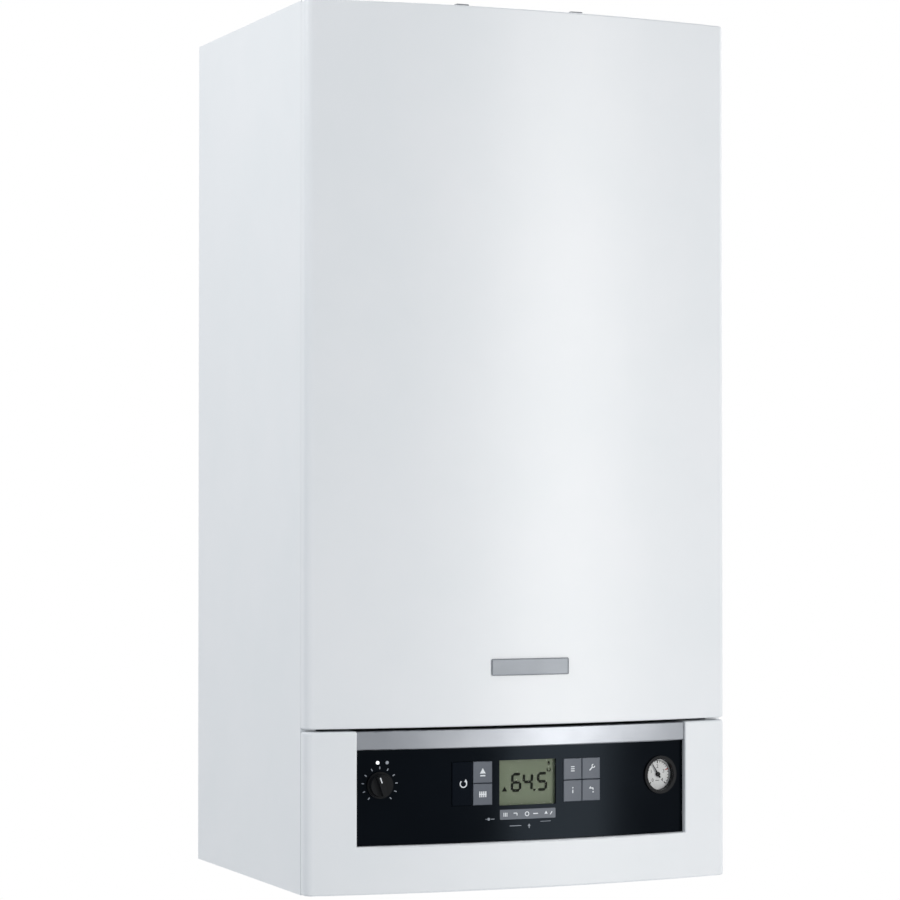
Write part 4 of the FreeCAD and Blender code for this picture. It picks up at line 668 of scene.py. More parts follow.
def face_on_bow(node: str, x: float, spin: float = 0.0) -> FlatSeat:
    """Finds the front face of a round piece that stands square on the bowed fascia.

    Args:
        node: The piece.
        x: Where its axis meets the fascia, in millimetres.
        spin: Its turn at rest, in degrees to the left.

    Returns:
        The face, with its middle on the axis.
    """
    angle = math.asin(x / FASCIA_RADIUS)
    outwards = Vector((math.sin(angle), -math.cos(angle), 0.0))
    foot = Vector((x, bow_front(FASCIA_RADIUS, x), DIAL_LEVEL - HANG_HEIGHT)) * MM
    rise = front_of(node, outwards) - foot.dot(outwards)
    return FlatSeat(foot + outwards * rise, angle, math.radians(spin))


@dataclass
class Marks:
    """Thin marks drawn flat as seen from the front, with their backs sunk a little.

    Sizes are in millimetres, and places are (x, z).
    """

    name: str
    proud: float = 0.1
    sunk: float = 0.12
    stroke_corner_share: float = 0.28  # the radius of a stroke's corners over its width
    stroke_corner_steps: int = 2
    plate_corner_steps: int = 4
    ring_sides: int = 72
    digit_share: float = 0.7  # the height of a figure over the size of its type
    digit_steps: int = 3
    parts: list[Piece] = field(default_factory=list)

    @property
    def depth(self) -> float:
        """The whole thickness of a mark."""
        return self.proud + self.sunk

    def keep(self, part: Piece) -> None:
        """Adds a finished mark to the group."""
        settle_mesh(part)
        self.parts.append(part)

    def is_through(self, edge: bmesh.types.BMEdge) -> bool:
        """Whether an edge runs through the thickness of a mark."""
        return abs(edge.verts[0].co.y - edge.verts[1].co.y) > self.depth / 2

    def slab(self, width: float, height: float, corner: float, steps: int) -> Piece:
        """Models a rectangle round zero with rounded corners, as thick as the marks.

        Args:
            width: Its size across.
            height: Its size upwards.
            corner: The radius of its corners.
            steps: How many faces round a corner.

        Returns:
            The rectangle.
        """
        deselect()
        bpy.ops.mesh.primitive_cube_add(size=1)
        part = bpy.context.object
        part.data.transform(Matrix.Diagonal((width, self.depth, height, 1.0)))
        with edit_mode(part):
            pick(part, Element.EDGE, self.is_through)
            bpy.ops.mesh.bevel(offset=corner, segments=steps, affect="EDGES")
        return part

    def stroke(self, start: Point, end: Point, width: float) -> None:
        """Draws a straight stroke with eased corners.

        Args:
            start: Its first end.
            end: Its last end.
            width: Its width.
        """
        along = Vector((end[0] - start[0], end[1] - start[1]))
        corner = width * self.stroke_corner_share
        part = self.slab(along.length, width, corner, self.stroke_corner_steps)
        part.rotation_euler = (0.0, -math.atan2(along.y, along.x), 0.0)
        middle_y = self.depth / 2 - self.proud
        part.location = ((start[0] + end[0]) / 2, middle_y, (start[1] + end[1]) / 2)
        self.keep(part)

    def plate(self, low_left: Point, high_right: Point, corner: float, cuts: int) -> None:
        """Draws a filled rectangle with rounded corners.

        Args:
            low_left: Its lower left corner.
            high_right: Its upper right corner.
            corner: The radius of its corners.
            cuts: How often it is divided across, so that it can follow a bow.
        """
        left, low = low_left
        right, high = high_right
        part = self.slab(right - left, high - low, corner, self.plate_corner_steps)
        with edit_mode(part):
            for cut in range(1, cuts + 1):
                bpy.ops.mesh.select_all(action="SELECT")
                place = (cut / (cuts + 1) - 0.5) * (right - left)
                bpy.ops.mesh.bisect(plane_co=(place, 0.0, 0.0), plane_no=(1.0, 0.0, 0.0))
        part.location = ((left + right) / 2, self.depth / 2 - self.proud, (low + high) / 2)
        self.keep(part)

    def disc(self, middle: Point, radius: float, sides: int = DISC_SIDES) -> None:
        """Draws a filled disc, or a regular shape with few sides that points up.

        Args:
            middle: Its middle.
            radius: Its radius.
            sides: How many sides it has.
        """
        deselect()
        bpy.ops.mesh.primitive_circle_add(vertices=sides, radius=radius, fill_type="NGON")
        part = bpy.context.object
        part.data.transform(Matrix.Rotation(math.pi / 2, 4, "X"))
        self.thicken(part, middle)

    def arc(self, middle: Point, radius: float, width: float, start: float, end: float) -> None:
        """Draws a part of a ring, in degrees turned clockwise from straight up.

        Args:
            middle: The ring's middle.
            radius: The radius of the line's middle.
            width: The line's width.
            start: Where it starts.
            end: Where it ends.
        """

        def is_outside(face: bmesh.types.BMFace) -> bool:
            """Whether a face lies outside the arc."""
            centre = face.calc_center_median()
            return not start <= math.degrees(math.atan2(centre.x, centre.z)) % FULL_TURN <= end

        deselect()
        outside = radius + width / 2
        bpy.ops.mesh.primitive_circle_add(
            vertices=self.ring_sides, radius=outside, fill_type="NOTHING"
        )
        part = bpy.context.object
        part.data.transform(Matrix.Rotation(math.pi / 2, 4, "X"))
        with edit_mode(part):
            bpy.ops.mesh.select_mode(type=Element.EDGE.value)
            bpy.ops.mesh.select_all(action="SELECT")
            bpy.ops.mesh.extrude_edges_move()
            share = (radius - width / 2) / outside
            bpy.ops.transform.resize(value=(share, 1.0, share), center_override=(0.0, 0.0, 0.0))
            pick(part, Element.FACE, is_outside)
            bpy.ops.mesh.delete(type="FACE")
        self.thicken(part, middle)

    def thicken(self, part: Piece, middle: Point) -> None:
        """Gives a flat mark its thickness and its place.

        Args:
            part: The flat mark, round zero.
            middle: Where it goes.
        """
        with edit_mode(part):
            bpy.ops.mesh.select_all(action="SELECT")
            move = {"value": (0.0, -self.depth, 0.0)}
            bpy.ops.mesh.extrude_region_move(TRANSFORM_OT_translate=move)
        part.location = (middle[0], self.sunk, middle[1])
        self.keep(part)

    def figure(self, text: str, middle: Point, height: float) -> None:
        """Draws a figure of a scale.

        Args:
            text: The figure.
            middle: Its middle.
            height: The height of its digits.
        """
        deselect()
        bpy.ops.object.text_add(rotation=(math.pi / 2, 0.0, 0.0))
        part = bpy.context.object
        part.data.body = text
        part.data.size = height / self.digit_share
        part.data.extrude = self.depth / 2
        part.data.align_x = "CENTER"
        part.data.resolution_u = self.digit_steps
        bpy.ops.object.convert(target="MESH")
        part = bpy.context.object
        part.location = (middle[0], self.depth / 2 - self.proud, middle[1] - height / 2)
        self.keep(part)

    def lay(self, seat: Seat, body: str, finish: Finish, slot: str) -> Piece:
        """Joins the marks into one piece on a surface.

        Args:
            seat: The surface.
            body: The body that it moves with.
            finish: The ink or paint.
            slot: The name of a slot in the record; not used.

        Returns:
            The piece.
        """
        piece = join(self.parts, self.name)
        seat.lay(piece)
        hand_over(piece, body, finish)
        return piece


@dataclass(frozen=True)
class Line:
    """A straight stroke of a sign, placed from the sign's middle."""

    start: Point
    end: Point
    width: float

    def draw(self, marks: Marks, middle: Point) -> None:
        """Draws the stroke into a group of marks."""
        marks.stroke(shifted(middle, self.start), shifted(middle, self.end), self.width)


@dataclass(frozen=True)
class Dot:
    """A disc or a triangle of a sign, placed from the sign's middle."""

    place: Point
    radius: float
    sides: int = DISC_SIDES

    def draw(self, marks: Marks, middle: Point) -> None:
        """Draws the disc into a group of marks."""
        marks.disc(shifted(middle, self.place), self.radius, self.sides)


@dataclass(frozen=True)
class Ring:
    """A part of a ring in a sign, in degrees clockwise, placed from the sign's middle."""

    place: Point
    radius: float
    width: float
    start: float
    end: float

    def draw(self, marks: Marks, middle: Point) -> None:
        """Draws the ring into a group of marks."""
        marks.arc(shifted(middle, self.place), self.radius, self.width, self.start, self.end)


@dataclass(frozen=True)
class Sign:
    """A small sign, with its middle in millimetres from the casing's middle and bottom edge."""

    middle: Point
    strokes: tuple[Line | Dot | Ring, ...]

    def draw(self, marks: Marks) -> None:
        """Draws the whole sign into a group of marks."""
        for stroke in self.strokes:
            stroke.draw(marks, self.middle)


@dataclass
class Screws:
    """Pan-head screws with a round recess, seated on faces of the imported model.

    Sizes are in millimetres.
    """

    name: str
    radius: float = 3.6
    rise: float = 2.0
    sides: int = 24
    dome_share: float = 0.45  # the rounding of the head's edge over its rise
    dome_steps: int = 3
    rim_share: float = 0.22  # the rim round the recess over the head's radius
    recess_share: float = 0.6  # the depth of the recess over the head's rise
    smooth_angle: float = 35.0
    places: list[tuple[Vector, Vector]] = field(default_factory=list)

    def seat(self, node: str, start: Point3, direction: Point3) -> None:
        """Finds the place of one screw.

        Args:
            node: The node that it holds.
            start: A point outside the node, with z above the casing's bottom edge.
            direction: The way that the screw is driven.
        """
        x, y, z = start
        found = hit(node, Vector((x, y, z - HANG_HEIGHT)) * MM, Vector(direction))
        if found is None:
            LOG.warning("no face of %s for a screw at %s", node, start)
            return
        self.places.append(found)

    def head(self) -> Piece:
        """Models one head, round zero and looking up.

        Returns:
            The head.
        """
        deselect()
        bpy.ops.mesh.primitive_cylinder_add(
            vertices=self.sides, radius=self.radius * MM, depth=self.rise * MM
        )
        part = bpy.context.object
        part.data.transform(Matrix.Translation((0.0, 0.0, self.rise / 2 * MM)))
        top = self.rise * MM - LEVEL_GAP
        with edit_mode(part):
            pick(part, Element.EDGE, lambda edge: min(v.co.z for v in edge.verts) > top)
            dome = self.rise * self.dome_share * MM
            bpy.ops.mesh.bevel(offset=dome, segments=self.dome_steps, affect="EDGES")
            pick(part, Element.FACE, lambda face: min(v.co.z for v in face.verts) > top)
            bpy.ops.mesh.inset(thickness=self.radius * self.rim_share * MM)
            move = {"value": (0.0, 0.0, -self.rise * self.recess_share * MM)}
            bpy.ops.mesh.extrude_region_move(TRANSFORM_OT_translate=move)
        return part

    def make(self, body: str, finish: Finish) -> None:
        """Copies the head to every place, as one piece.

        Args:
            body: The body that the screws move with.
            finish: What they are made of.
        """
        first = self.head()
        parts = []
        for place, normal in self.places:
            part = first.copy()
            part.data = first.data.copy()
            bpy.context.scene.collection.objects.link(part)
            turn = normal.to_track_quat("Z", "Y").to_matrix().to_4x4()
            part.data.transform(Matrix.Translation(place) @ turn)
            parts.append(part)
        bpy.data.objects.remove(first)
        piece = join(parts, self.name)
        settle_mesh(piece)
        choose(piece)
        bpy.ops.object.shade_smooth_by_angle(angle=math.radians(self.smooth_angle))
        hand_over(piece, body, finish)


# Sub-assemblies


@dataclass
class Casing:
    """The steel casing with its bowed cover, its frame and its connection plate.

    Sizes are in millimetres, and levels count from the casing's bottom edge.
    """

    width: float = 440.0
    height: float = 840.0
    badge_width: float = 80.0
    badge_height: float = 16.0
    badge_level: float = 211.0
    badge_rise: float = 1.4
    badge_sunk: float = 0.2
    badge_corner: float = 1.4
    badge_cuts: int = 11
    badge_rim: float = 1.0
    badge_field_depth: float = 0.5
    front_slope: float = -0.9  # faces whose normal's y is lower look forwards
    screw_inset: float = 16.0
    frame_screw_inset: float = 10.0
    lid_screw_rows: Point = (-40.0, -285.0)
    plate_screw_rows: Point = (-35.0, -170.0)
    frame_screw_levels: tuple[float, ...] = (60.0, 250.0, 440.0, 630.0, 790.0)
    collar_middle: Point = (0.0, -140.0)
    collar_bolt_circle: float = 75.0
    collar_bolt_turns: tuple[float, ...] = (45.0, 135.0, 225.0, 315.0)
    above: float = 60.0  # how far outside the casing the search for a screw's face starts
    behind: float = 20.0
    below: float = 40.0

    def build(self) -> None:
        """Dresses the casing and adds its plate and screws."""
        for node in ("front_cover", "left_side_panel", "right_side_panel", "top_panel"):
            dress(node, POWDER_COAT)
        for node in ("rear_frame", "connection_plate", "support_shelf", "wall_bracket"):
            dress(node, ZINC_SHEET)
        dress("cover_seal", FOAM)
        dress("cover_catches", PALE_NYLON)
        self.badge()
        self.screws()

    def badge(self) -> None:
        """Makes the blank plate on the cover, with a narrow rim round a sunk field."""
        marks = Marks("blank_badge_plate", proud=self.badge_rise, sunk=self.badge_sunk)
        half = self.badge_width / 2
        low = self.badge_level - self.badge_height / 2
        high_right = (half, low + self.badge_height)
        marks.plate((-half, low), high_right, self.badge_corner, self.badge_cuts)
        plate = marks.lay(BowSeat(BOW_RADIUS), "front_cover", SATIN_CHROME, "silver_trim")
        with edit_mode(plate):
            pick(plate, Element.FACE, lambda face: face.normal.y < self.front_slope)
            bpy.ops.mesh.inset(thickness=self.badge_rim * MM, depth=-self.badge_field_depth * MM)

    def screws(self) -> None:
        """Adds the screws of the lid, the flue collar, the frame and the connection plate."""
        screws = Screws("casing_screws")
        top = self.height + self.above
        for side in (-1.0, 1.0):
            x = side * (self.width / 2 - self.screw_inset)
            for y in self.lid_screw_rows:
                screws.seat("top_panel", (x, y, top), DOWN)
            frame_x = side * (self.width / 2 - self.frame_screw_inset)
            for z in self.frame_screw_levels:
                screws.seat("rear_frame", (frame_x, self.behind, z), FORWARDS)
            for y in self.plate_screw_rows:
                screws.seat("connection_plate", (x, y, -self.below), UP)
        for turn in map(math.radians, self.collar_bolt_turns):
            x = self.collar_middle[0] + self.collar_bolt_circle * math.cos(turn)
            y = self.collar_middle[1] + self.collar_bolt_circle * math.sin(turn)
            screws.seat("flue_collar", (x, y, top), DOWN)
        screws.make("chassis", TURNED_STEEL)


# The strokes of the display's digits, lettered clockwise from the top, with g across the middle
SEGMENTS: dict[str, str] = {"4": "fgbc", "5": "afgcd", "6": "afgedc"}


@dataclass
class Display:
    """The figures and signs of the display. Sizes in millimetres."""

    reading: str = "64.5"
    digit_height: float = 15.5
    digit_width: float = 8.4
    digit_pitch: float = 12.0
    digit_stroke: float = 2.7
    digit_left: float = -15.0
    digit_low: float = 92.5
    digit_lean: float = 0.8
    gap_share: float = 0.22  # the gap at a stroke's end over its width
    point_gap: float = 3.0
    point_shift: float = 0.4
    point_radius: float = 1.3
    proud: float = 0.05
    sunk: float = 0.03
    glass_depth: float = 0.5  # how far the glass lies behind the module's front
    signs: tuple[Line | Dot | Ring, ...] = (
        Dot((-22.6, 1.0), 3.2, TRIANGLE),
        Line((23.6, 23.5), (23.6, 26.9), 2.2),
        Ring((23.6, 18.9), 1.7, 1.1, 40.0, 320.0),
    )

    def build(self) -> None:
        """Makes the display's figures and its small signs."""
        marks = Marks("display_figures", proud=self.proud, sunk=self.sunk)
        left = self.digit_left
        for sign in self.reading:
            if sign == ".":
                marks.disc((left - self.point_shift, self.digit_low), self.point_radius)
                left += self.point_gap
            else:
                self.digit(marks, sign, left)
                left += self.digit_pitch
        Sign((0.0, self.digit_low), self.signs).draw(marks)
        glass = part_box("display_module")[0].y / MM + self.glass_depth
        seat = FlatSeat(Vector((0.0, glass, -HANG_HEIGHT)) * MM)
        marks.lay(seat, "control_unit", LCD_INK, "display_glass")

    def digit(self, marks: Marks, sign: str, left: float) -> None:
        """Draws one digit of seven strokes.

        Args:
            marks: The group that takes the strokes.
            sign: The digit.
            left: Its left edge.
        """
        right = left + self.digit_width
        low = self.digit_low
        middle = low + self.digit_height / 2
        high = low + self.digit_height
        gap = self.digit_stroke * self.gap_share
        lean = self.digit_lean
        ends: dict[str, tuple[Point, Point]] = {
            "a": ((left + gap + lean, high), (right - gap + lean, high)),
            "b": ((right + lean / 2, middle + gap), (right + lean, high - gap)),
            "c": ((right, low + gap), (right + lean / 2, middle - gap)),
            "d": ((left + gap, low), (right - gap, low)),
            "e": ((left, low + gap), (left + lean / 2, middle - gap)),
            "f": ((left + lean / 2, middle + gap), (left + lean, high - gap)),
            "g": ((left + gap + lean / 2, middle), (right - gap + lean / 2, middle)),
        }
        for name in SEGMENTS[sign]:
            marks.stroke(*ends[name], self.digit_stroke)


# Where the signs on the two blocks of keys stand, in mm
NEAR_COLUMN = 47.0
FAR_COLUMN = 67.0
UPPER_ROW = 111.6
LOWER_ROW = 90.6

KEY_SIGNS: dict[str, Sign] = {
    "reset_key": Sign((-66.5, 101.0), (
        Ring((0.0, 0.0), 3.2, 1.1, 40.0, 320.0),
        Dot((2.3, 2.6), 1.9, TRIANGLE),
    )),
    "up_key": Sign((-NEAR_COLUMN, UPPER_ROW), (
        Dot((0.0, 0.4), 3.4, TRIANGLE),
        Line((-2.6, -3.4), (2.6, -3.4), 1.2),
    )),
    "down_key": Sign((-NEAR_COLUMN, LOWER_ROW), (
        *(Line((x, -2.8), (x, 2.8), 1.2) for x in (-3.0, -1.0, 1.0, 3.0)),
        Line((-3.8, 0.0), (3.8, 0.0), 1.0),
    )),
    "menu_key": Sign((NEAR_COLUMN, UPPER_ROW), (
        *(Line((-2.0, z), (2.0, z), 0.9) for z in (-2.0, 0.0, 2.0)),
    )),
    "heating_key": Sign((FAR_COLUMN, UPPER_ROW), (
        Line((-1.8, -2.2), (1.6, 1.2), 1.2),
        Ring((2.4, 2.0), 1.5, 0.9, 90.0, FULL_TURN),
    )),
    "info_key": Sign((NEAR_COLUMN, LOWER_ROW), (
        Line((0.0, -2.4), (0.0, 1.0), 1.1),
        Dot((0.0, 2.8), 0.7),
    )),
    "water_key": Sign((FAR_COLUMN, LOWER_ROW), (
        Line((-2.2, 1.8), (2.0, 1.8), 1.1),
        Line((-0.8, 1.8), (-0.8, 3.4), 0.9),
        Line((2.0, 2.0), (2.0, 0.0), 1.0),
        Dot((2.0, -2.0), 0.7),
    )),
}

STRIP_LEVEL = 70.3  # the middle of the sign strip above the casing's bottom edge, in mm

STRIP_SIGNS = Sign((0.0, STRIP_LEVEL), (
    *(Line((x, -1.9), (x, 1.9), 0.8) for x in (-25.0, -23.4, -21.8)),
    Line((-15.0, 1.1), (-11.4, 1.1), 0.9),
    Line((-11.4, 1.1), (-11.4, -1.3), 0.9),
    Ring((-1.0, 0.0), 1.9, 0.8, 0.0, FULL_TURN),
    Line((5.4, 0.0), (10.6, 0.0), 1.0),
    Dot((19.0, 0.3), 2.0, TRIANGLE),
    Line((23.4, -1.5), (25.4, 1.5), 0.9),
))

FASCIA_SIGNS: tuple[Sign, ...] = (
    Sign((-40.5, 66.6), (
        Dot((0.0, 0.0), 1.4, SMALL_DISC_SIDES),
        Line((2.1, 0.0), (5.9, 0.0), 0.7),
        Line((-3.1, 0.0), (-2.1, 0.0), 0.7),
    )),
    Sign((1.2, 59.4), (
        Line((-20.2, 0.0), (-8.2, 0.0), 0.7),
        Dot((0.0, 0.0), 1.7, TRIANGLE),
        Line((0.0, -2.8), (0.0, -0.8), 0.9),
        Line((11.8, 3.2), (22.8, 3.2), 0.45),
    )),
)


@dataclass
class Selector:
    """The prints of the selector knob and of the ring of marks round it.

    Sizes are in millimetres and turns in degrees.
    """

    x: float = -148.0
    rest_turn: float = 18.0
    ring_radius: float = 16.2
    ring_reach: int = 140
    ring_step: int = 28
    mark_length: float = 2.4
    mark_width: float = 1.0
    line_ends: Point = (3.2, 8.6)
    line_width: float = 1.1

    def ring(self, marks: Marks) -> None:
        """Draws the ring round the knob.

        Args:
            marks: The group that takes it.
        """
        middle = Vector((self.x, DIAL_LEVEL))
        for turn in range(-self.ring_reach, self.ring_reach + 1, self.ring_step):
            way = clockwise(turn)
            start = middle + way * (self.ring_radius - self.mark_length / 2)
            marks.stroke(tuple(start), tuple(start + way * self.mark_length), self.mark_width)

    def pointer(self) -> None:
        """Makes the white line on the knob's grip."""
        marks = Marks("knob_pointer_line")
        start, end = self.line_ends
        marks.stroke((0.0, start), (0.0, end), self.line_width)
        seat = face_on_bow("selector_knob", self.x, self.rest_turn)
        marks.lay(seat, "selector_knob", WHITE_INK, "black_moulding")


@dataclass
class PressureGauge:
    """The prints of the pressure gauge. Sizes in millimetres and turns in degrees."""

    x: float = 145.0
    highest: int = 4
    limit: int = 3
    steps_per_unit: int = 5
    sweep: float = 270.0
    scale_end: float = 13.2
    unit_start: float = 10.6
    unit_width: float = 1.1
    step_start: float = 11.6
    step_width: float = 0.55
    figure_radius: float = 7.8
    figure_height: float = 3.5
    rim_radius: float = 13.4
    rim_width: float = 0.5
    underline_half: float = 2.2
    underline_level: float = -6.0
    underline_width: float = 0.6
    limit_ends: Point = (9.8, 13.8)
    limit_width: float = 0.9
    scale_proud: float = 0.04
    limit_proud: float = 0.06
    sunk: float = 0.04

    def way(self, step: int) -> Vector:
        """The direction of a step of the scale, as (x, z)."""
        turn = self.sweep / (self.highest * self.steps_per_unit)
        return clockwise(step * turn - self.sweep / 2)

    def build(self) -> None:
        """Makes the scale of the gauge and its red line."""
        seat = face_on_bow("gauge_dial", self.x)
        self.scale(seat)
        self.limit_line(seat)

    def scale(self, seat: FlatSeat) -> None:
        """Makes the scale with its figures, its rim and a short line below.

        Args:
            seat: The dial's face.
        """
        marks = Marks("gauge_scale", proud=self.scale_proud, sunk=self.sunk)
        for step in range(self.highest * self.steps_per_unit + 1):
            way = self.way(step)
            unit, rest = divmod(step, self.steps_per_unit)
            start = self.step_start if rest else self.unit_start
            width = self.step_width if rest else self.unit_width
            marks.stroke(tuple(way * start), tuple(way * self.scale_end), width)
            if not rest:
                marks.figure(str(unit), tuple(way * self.figure_radius), self.figure_height)
        half = self.sweep / 2
        for start, end in ((FULL_TURN - half, FULL_TURN), (0.0, half)):
            marks.arc((0.0, 0.0), self.rim_radius, self.rim_width, start, end)
        left = (-self.underline_half, self.underline_level)
        right = (self.underline_half, self.underline_level)
        marks.stroke(left, right, self.underline_width)
        marks.lay(seat, "control_unit", DARK_INK, "white_dial")

    def limit_line(self, seat: FlatSeat) -> None:
        """Makes the red line at the highest pressure that is allowed.

        Args:
            seat: The dial's face.
        """
        marks = Marks("gauge_limit_line", proud=self.limit_proud, sunk=self.sunk)
        way = self.way(self.limit * self.steps_per_unit)
        start, end = self.limit_ends
        marks.stroke(tuple(way * start), tuple(way * end), self.limit_width)
        marks.lay(seat, "control_unit", RED_INK, "white_dial")


@dataclass
class ControlUnit:
    """The lower panel with the fascia, the keys, the display, the knob and the gauge.

    Sizes are in millimetres, and levels count from the casing's bottom edge.
    """

    finishes: dict[str, Finish] = field(default_factory=lambda: {
        "lower_panel": WHITE_ABS,
        "control_fascia": GLOSS_BLACK,
        "trim_strip": SILVER_FOIL,
        "control_box": GREY_ABS,
        "hinge_pins": TURNED_STEEL,
        "control_board": BOARD,
        "display_module": LCD_GLASS,
        "display_lens": CLEAR_PMMA,
        "gauge_lens": CLEAR_PMMA,
        "gauge_dial": DIAL_WHITE,
        "selector_switch": GREY_ABS,
        "selector_knob": BLACK_ABS,
        "gauge_case": BLACK_ABS,
        "gauge_needle": BLACK_ABS,
        "reset_key": KEY_BLACK,
        "up_key": KEY_GREY,
        "down_key": KEY_GREY,
        "menu_key": KEY_GREY,
        "heating_key": KEY_GREY,
        "info_key": KEY_GREY,
        "water_key": KEY_GREY,
        "indicator_lamps": LIT_LAMP,
    })
    display: Display = field(default_factory=Display)
    selector: Selector = field(default_factory=Selector)
    gauge: PressureGauge = field(default_factory=PressureGauge)
    lamps_middle: float = -145.5  # x between the two lamps
    strip_half: float = 29.0
    strip_height: float = 9.4
    strip_corner: float = 0.8
    strip_cuts: int = 9
    strip_proud: float = 0.06
    strip_sign_proud: float = 0.12
    strip_sign_sunk: float = 0.05
    screw_radius: float = 2.8
    screw_rise: float = 1.6
    board_screw_x: float = 90.0
    board_screw_levels: Point = (74.0, 128.0)
    board_behind: float = -300.0  # y where the search for a screw's face starts
    box_screw_x: float = 165.0
    box_screw_levels: Point = (30.0, 120.0)
    box_behind: float = -120.0

    def build(self) -> None:
        """Dresses the unit and adds all that is printed on it."""
        dress_all(self.finishes)
        self.unlit_lamp()
        self.display.build()
        self.key_signs()
        self.fascia_print()
        self.selector.pointer()
        self.gauge.build()
        self.screws()

    def unlit_lamp(self) -> None:
        """Turns off the right one of the two lamps."""
        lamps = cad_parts["indicator_lamps"].data
        lamps.materials.append(GREY_INK.material())
        middle = self.lamps_middle * MM
        unlit = [int(face.center.x > middle) for face in lamps.polygons]
        lamps.polygons.foreach_set("material_index", unlit)

    def key_signs(self) -> None:
        """Makes the white sign on each key."""
        for key, sign in KEY_SIGNS.items():
            marks = Marks(f"{key}_sign")
            sign.draw(marks)
            marks.lay(BowSeat(KEY_RADIUS), key, WHITE_INK, "grey_keys")

    def fascia_print(self) -> None:
        """Makes the grey strip of white signs under the display and the small marks round it."""
        seat = BowSeat(FASCIA_RADIUS)
        strip = Marks("display_sign_strip", proud=self.strip_proud)
        low, high = STRIP_LEVEL - self.strip_height / 2, STRIP_LEVEL + self.strip_height / 2
        high_right = (self.strip_half, high)
        strip.plate((-self.strip_half, low), high_right, self.strip_corner, self.strip_cuts)
        strip.lay(seat, "control_unit", SLATE_INK, "black_fascia")
        signs = Marks(
            "display_strip_signs", proud=self.strip_sign_proud, sunk=self.strip_sign_sunk
        )
        STRIP_SIGNS.draw(signs)
        signs.lay(seat, "control_unit", WHITE_INK, "black_fascia")
        marks = Marks("fascia_marks")
        for sign in FASCIA_SIGNS:
            sign.draw(marks)
        self.selector.ring(marks)
        marks.lay(seat, "control_unit", GREY_INK, "black_fascia")

    def screws(self) -> None:
        """Adds the screws of the board and of the box, all driven from behind."""
        screws = Screws("control_unit_screws", radius=self.screw_radius, rise=self.screw_rise)
        for x in (-self.board_screw_x, self.board_screw_x):
            for z in self.board_screw_levels:
                screws.seat("control_board", (x, self.board_behind, z), FORWARDS)
        for x in (-self.box_screw_x, self.box_screw_x):
            for z in self.box_screw_levels:
                screws.seat("control_box", (x, self.box_behind, z), FORWARDS)
        screws.make("control_unit", TURNED_STEEL)


@dataclass
class HeatCell:
    """The heat exchanger with its burner, its flue and its condensate parts.

    Sizes are in millimetres.
    """

    finishes: dict[str, Finish] = field(default_factory=lambda: {
        "heat_exchanger": CAST_ALUMINIUM,
        "burner": STAINLESS,
        "burner_hood": CAST_ALUMINIUM,
        "ignition_electrodes": CERAMIC,
        "condensate_sump": FAN_NYLON,
        "condensate_trap": BLACK_ABS,
        "flue_duct": FLUE_PP,
        "flue_collar": FLUE_PP,
        "expansion_vessel": VESSEL_PAINT,
    })
    screw_radius: float = 3.0
    screw_rise: float = 2.6
    screw_inset: float = 6.0
    above: float = 40.0  # how far over the hood the search for a screw's face starts

    def build(self) -> None:
        """Dresses the cell and screws its hood down."""
        dress_all(self.finishes)
        low, high = (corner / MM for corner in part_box("burner_hood"))
        screws = Screws("hood_screws", radius=self.screw_radius, rise=self.screw_rise)
        top = high.z + HANG_HEIGHT + self.above
        for x in (low.x + self.screw_inset, high.x - self.screw_inset):
            for y in (low.y + self.screw_inset, (low.y + high.y) / 2, high.y - self.screw_inset):
                screws.seat("burner_hood", (x, y, top), DOWN)
        screws.make("chassis", TURNED_STEEL)


@dataclass
class FanAndGas:
    """The fan with its motor and mixer, and the gas valve with its pipes. Sizes in millimetres."""

    finishes: dict[str, Finish] = field(default_factory=lambda: {
        "fan_housing": CAST_ALUMINIUM,
        "fan_motor": MOTOR_PAINT,
        "fan_impeller": FAN_NYLON,
        "venturi_mixer": CAST_ALUMINIUM,
        "gas_valve": CAST_ALUMINIUM,
        "gas_pipe": COPPER,
        "gas_feed_pipe": COPPER,
    })
    screw_radius: float = 3.0
    screw_rise: float = 2.4
    screw_inset: float = 9.0
    before: float = 40.0  # how far in front of the valve the search for a screw's face starts

    def build(self) -> None:
        """Dresses the parts and adds the screws of the gas valve."""
        dress_all(self.finishes)
        low, high = (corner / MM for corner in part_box("gas_valve"))
        screws = Screws("gas_valve_screws", radius=self.screw_radius, rise=self.screw_rise)
        for x in (low.x + self.screw_inset, high.x - self.screw_inset):
            for z in (low.z + self.screw_inset, high.z - self.screw_inset):
                screws.seat("gas_valve", (x, low.y - self.before, z + HANG_HEIGHT), BACKWARDS)
        screws.make("chassis", TURNED_STEEL)


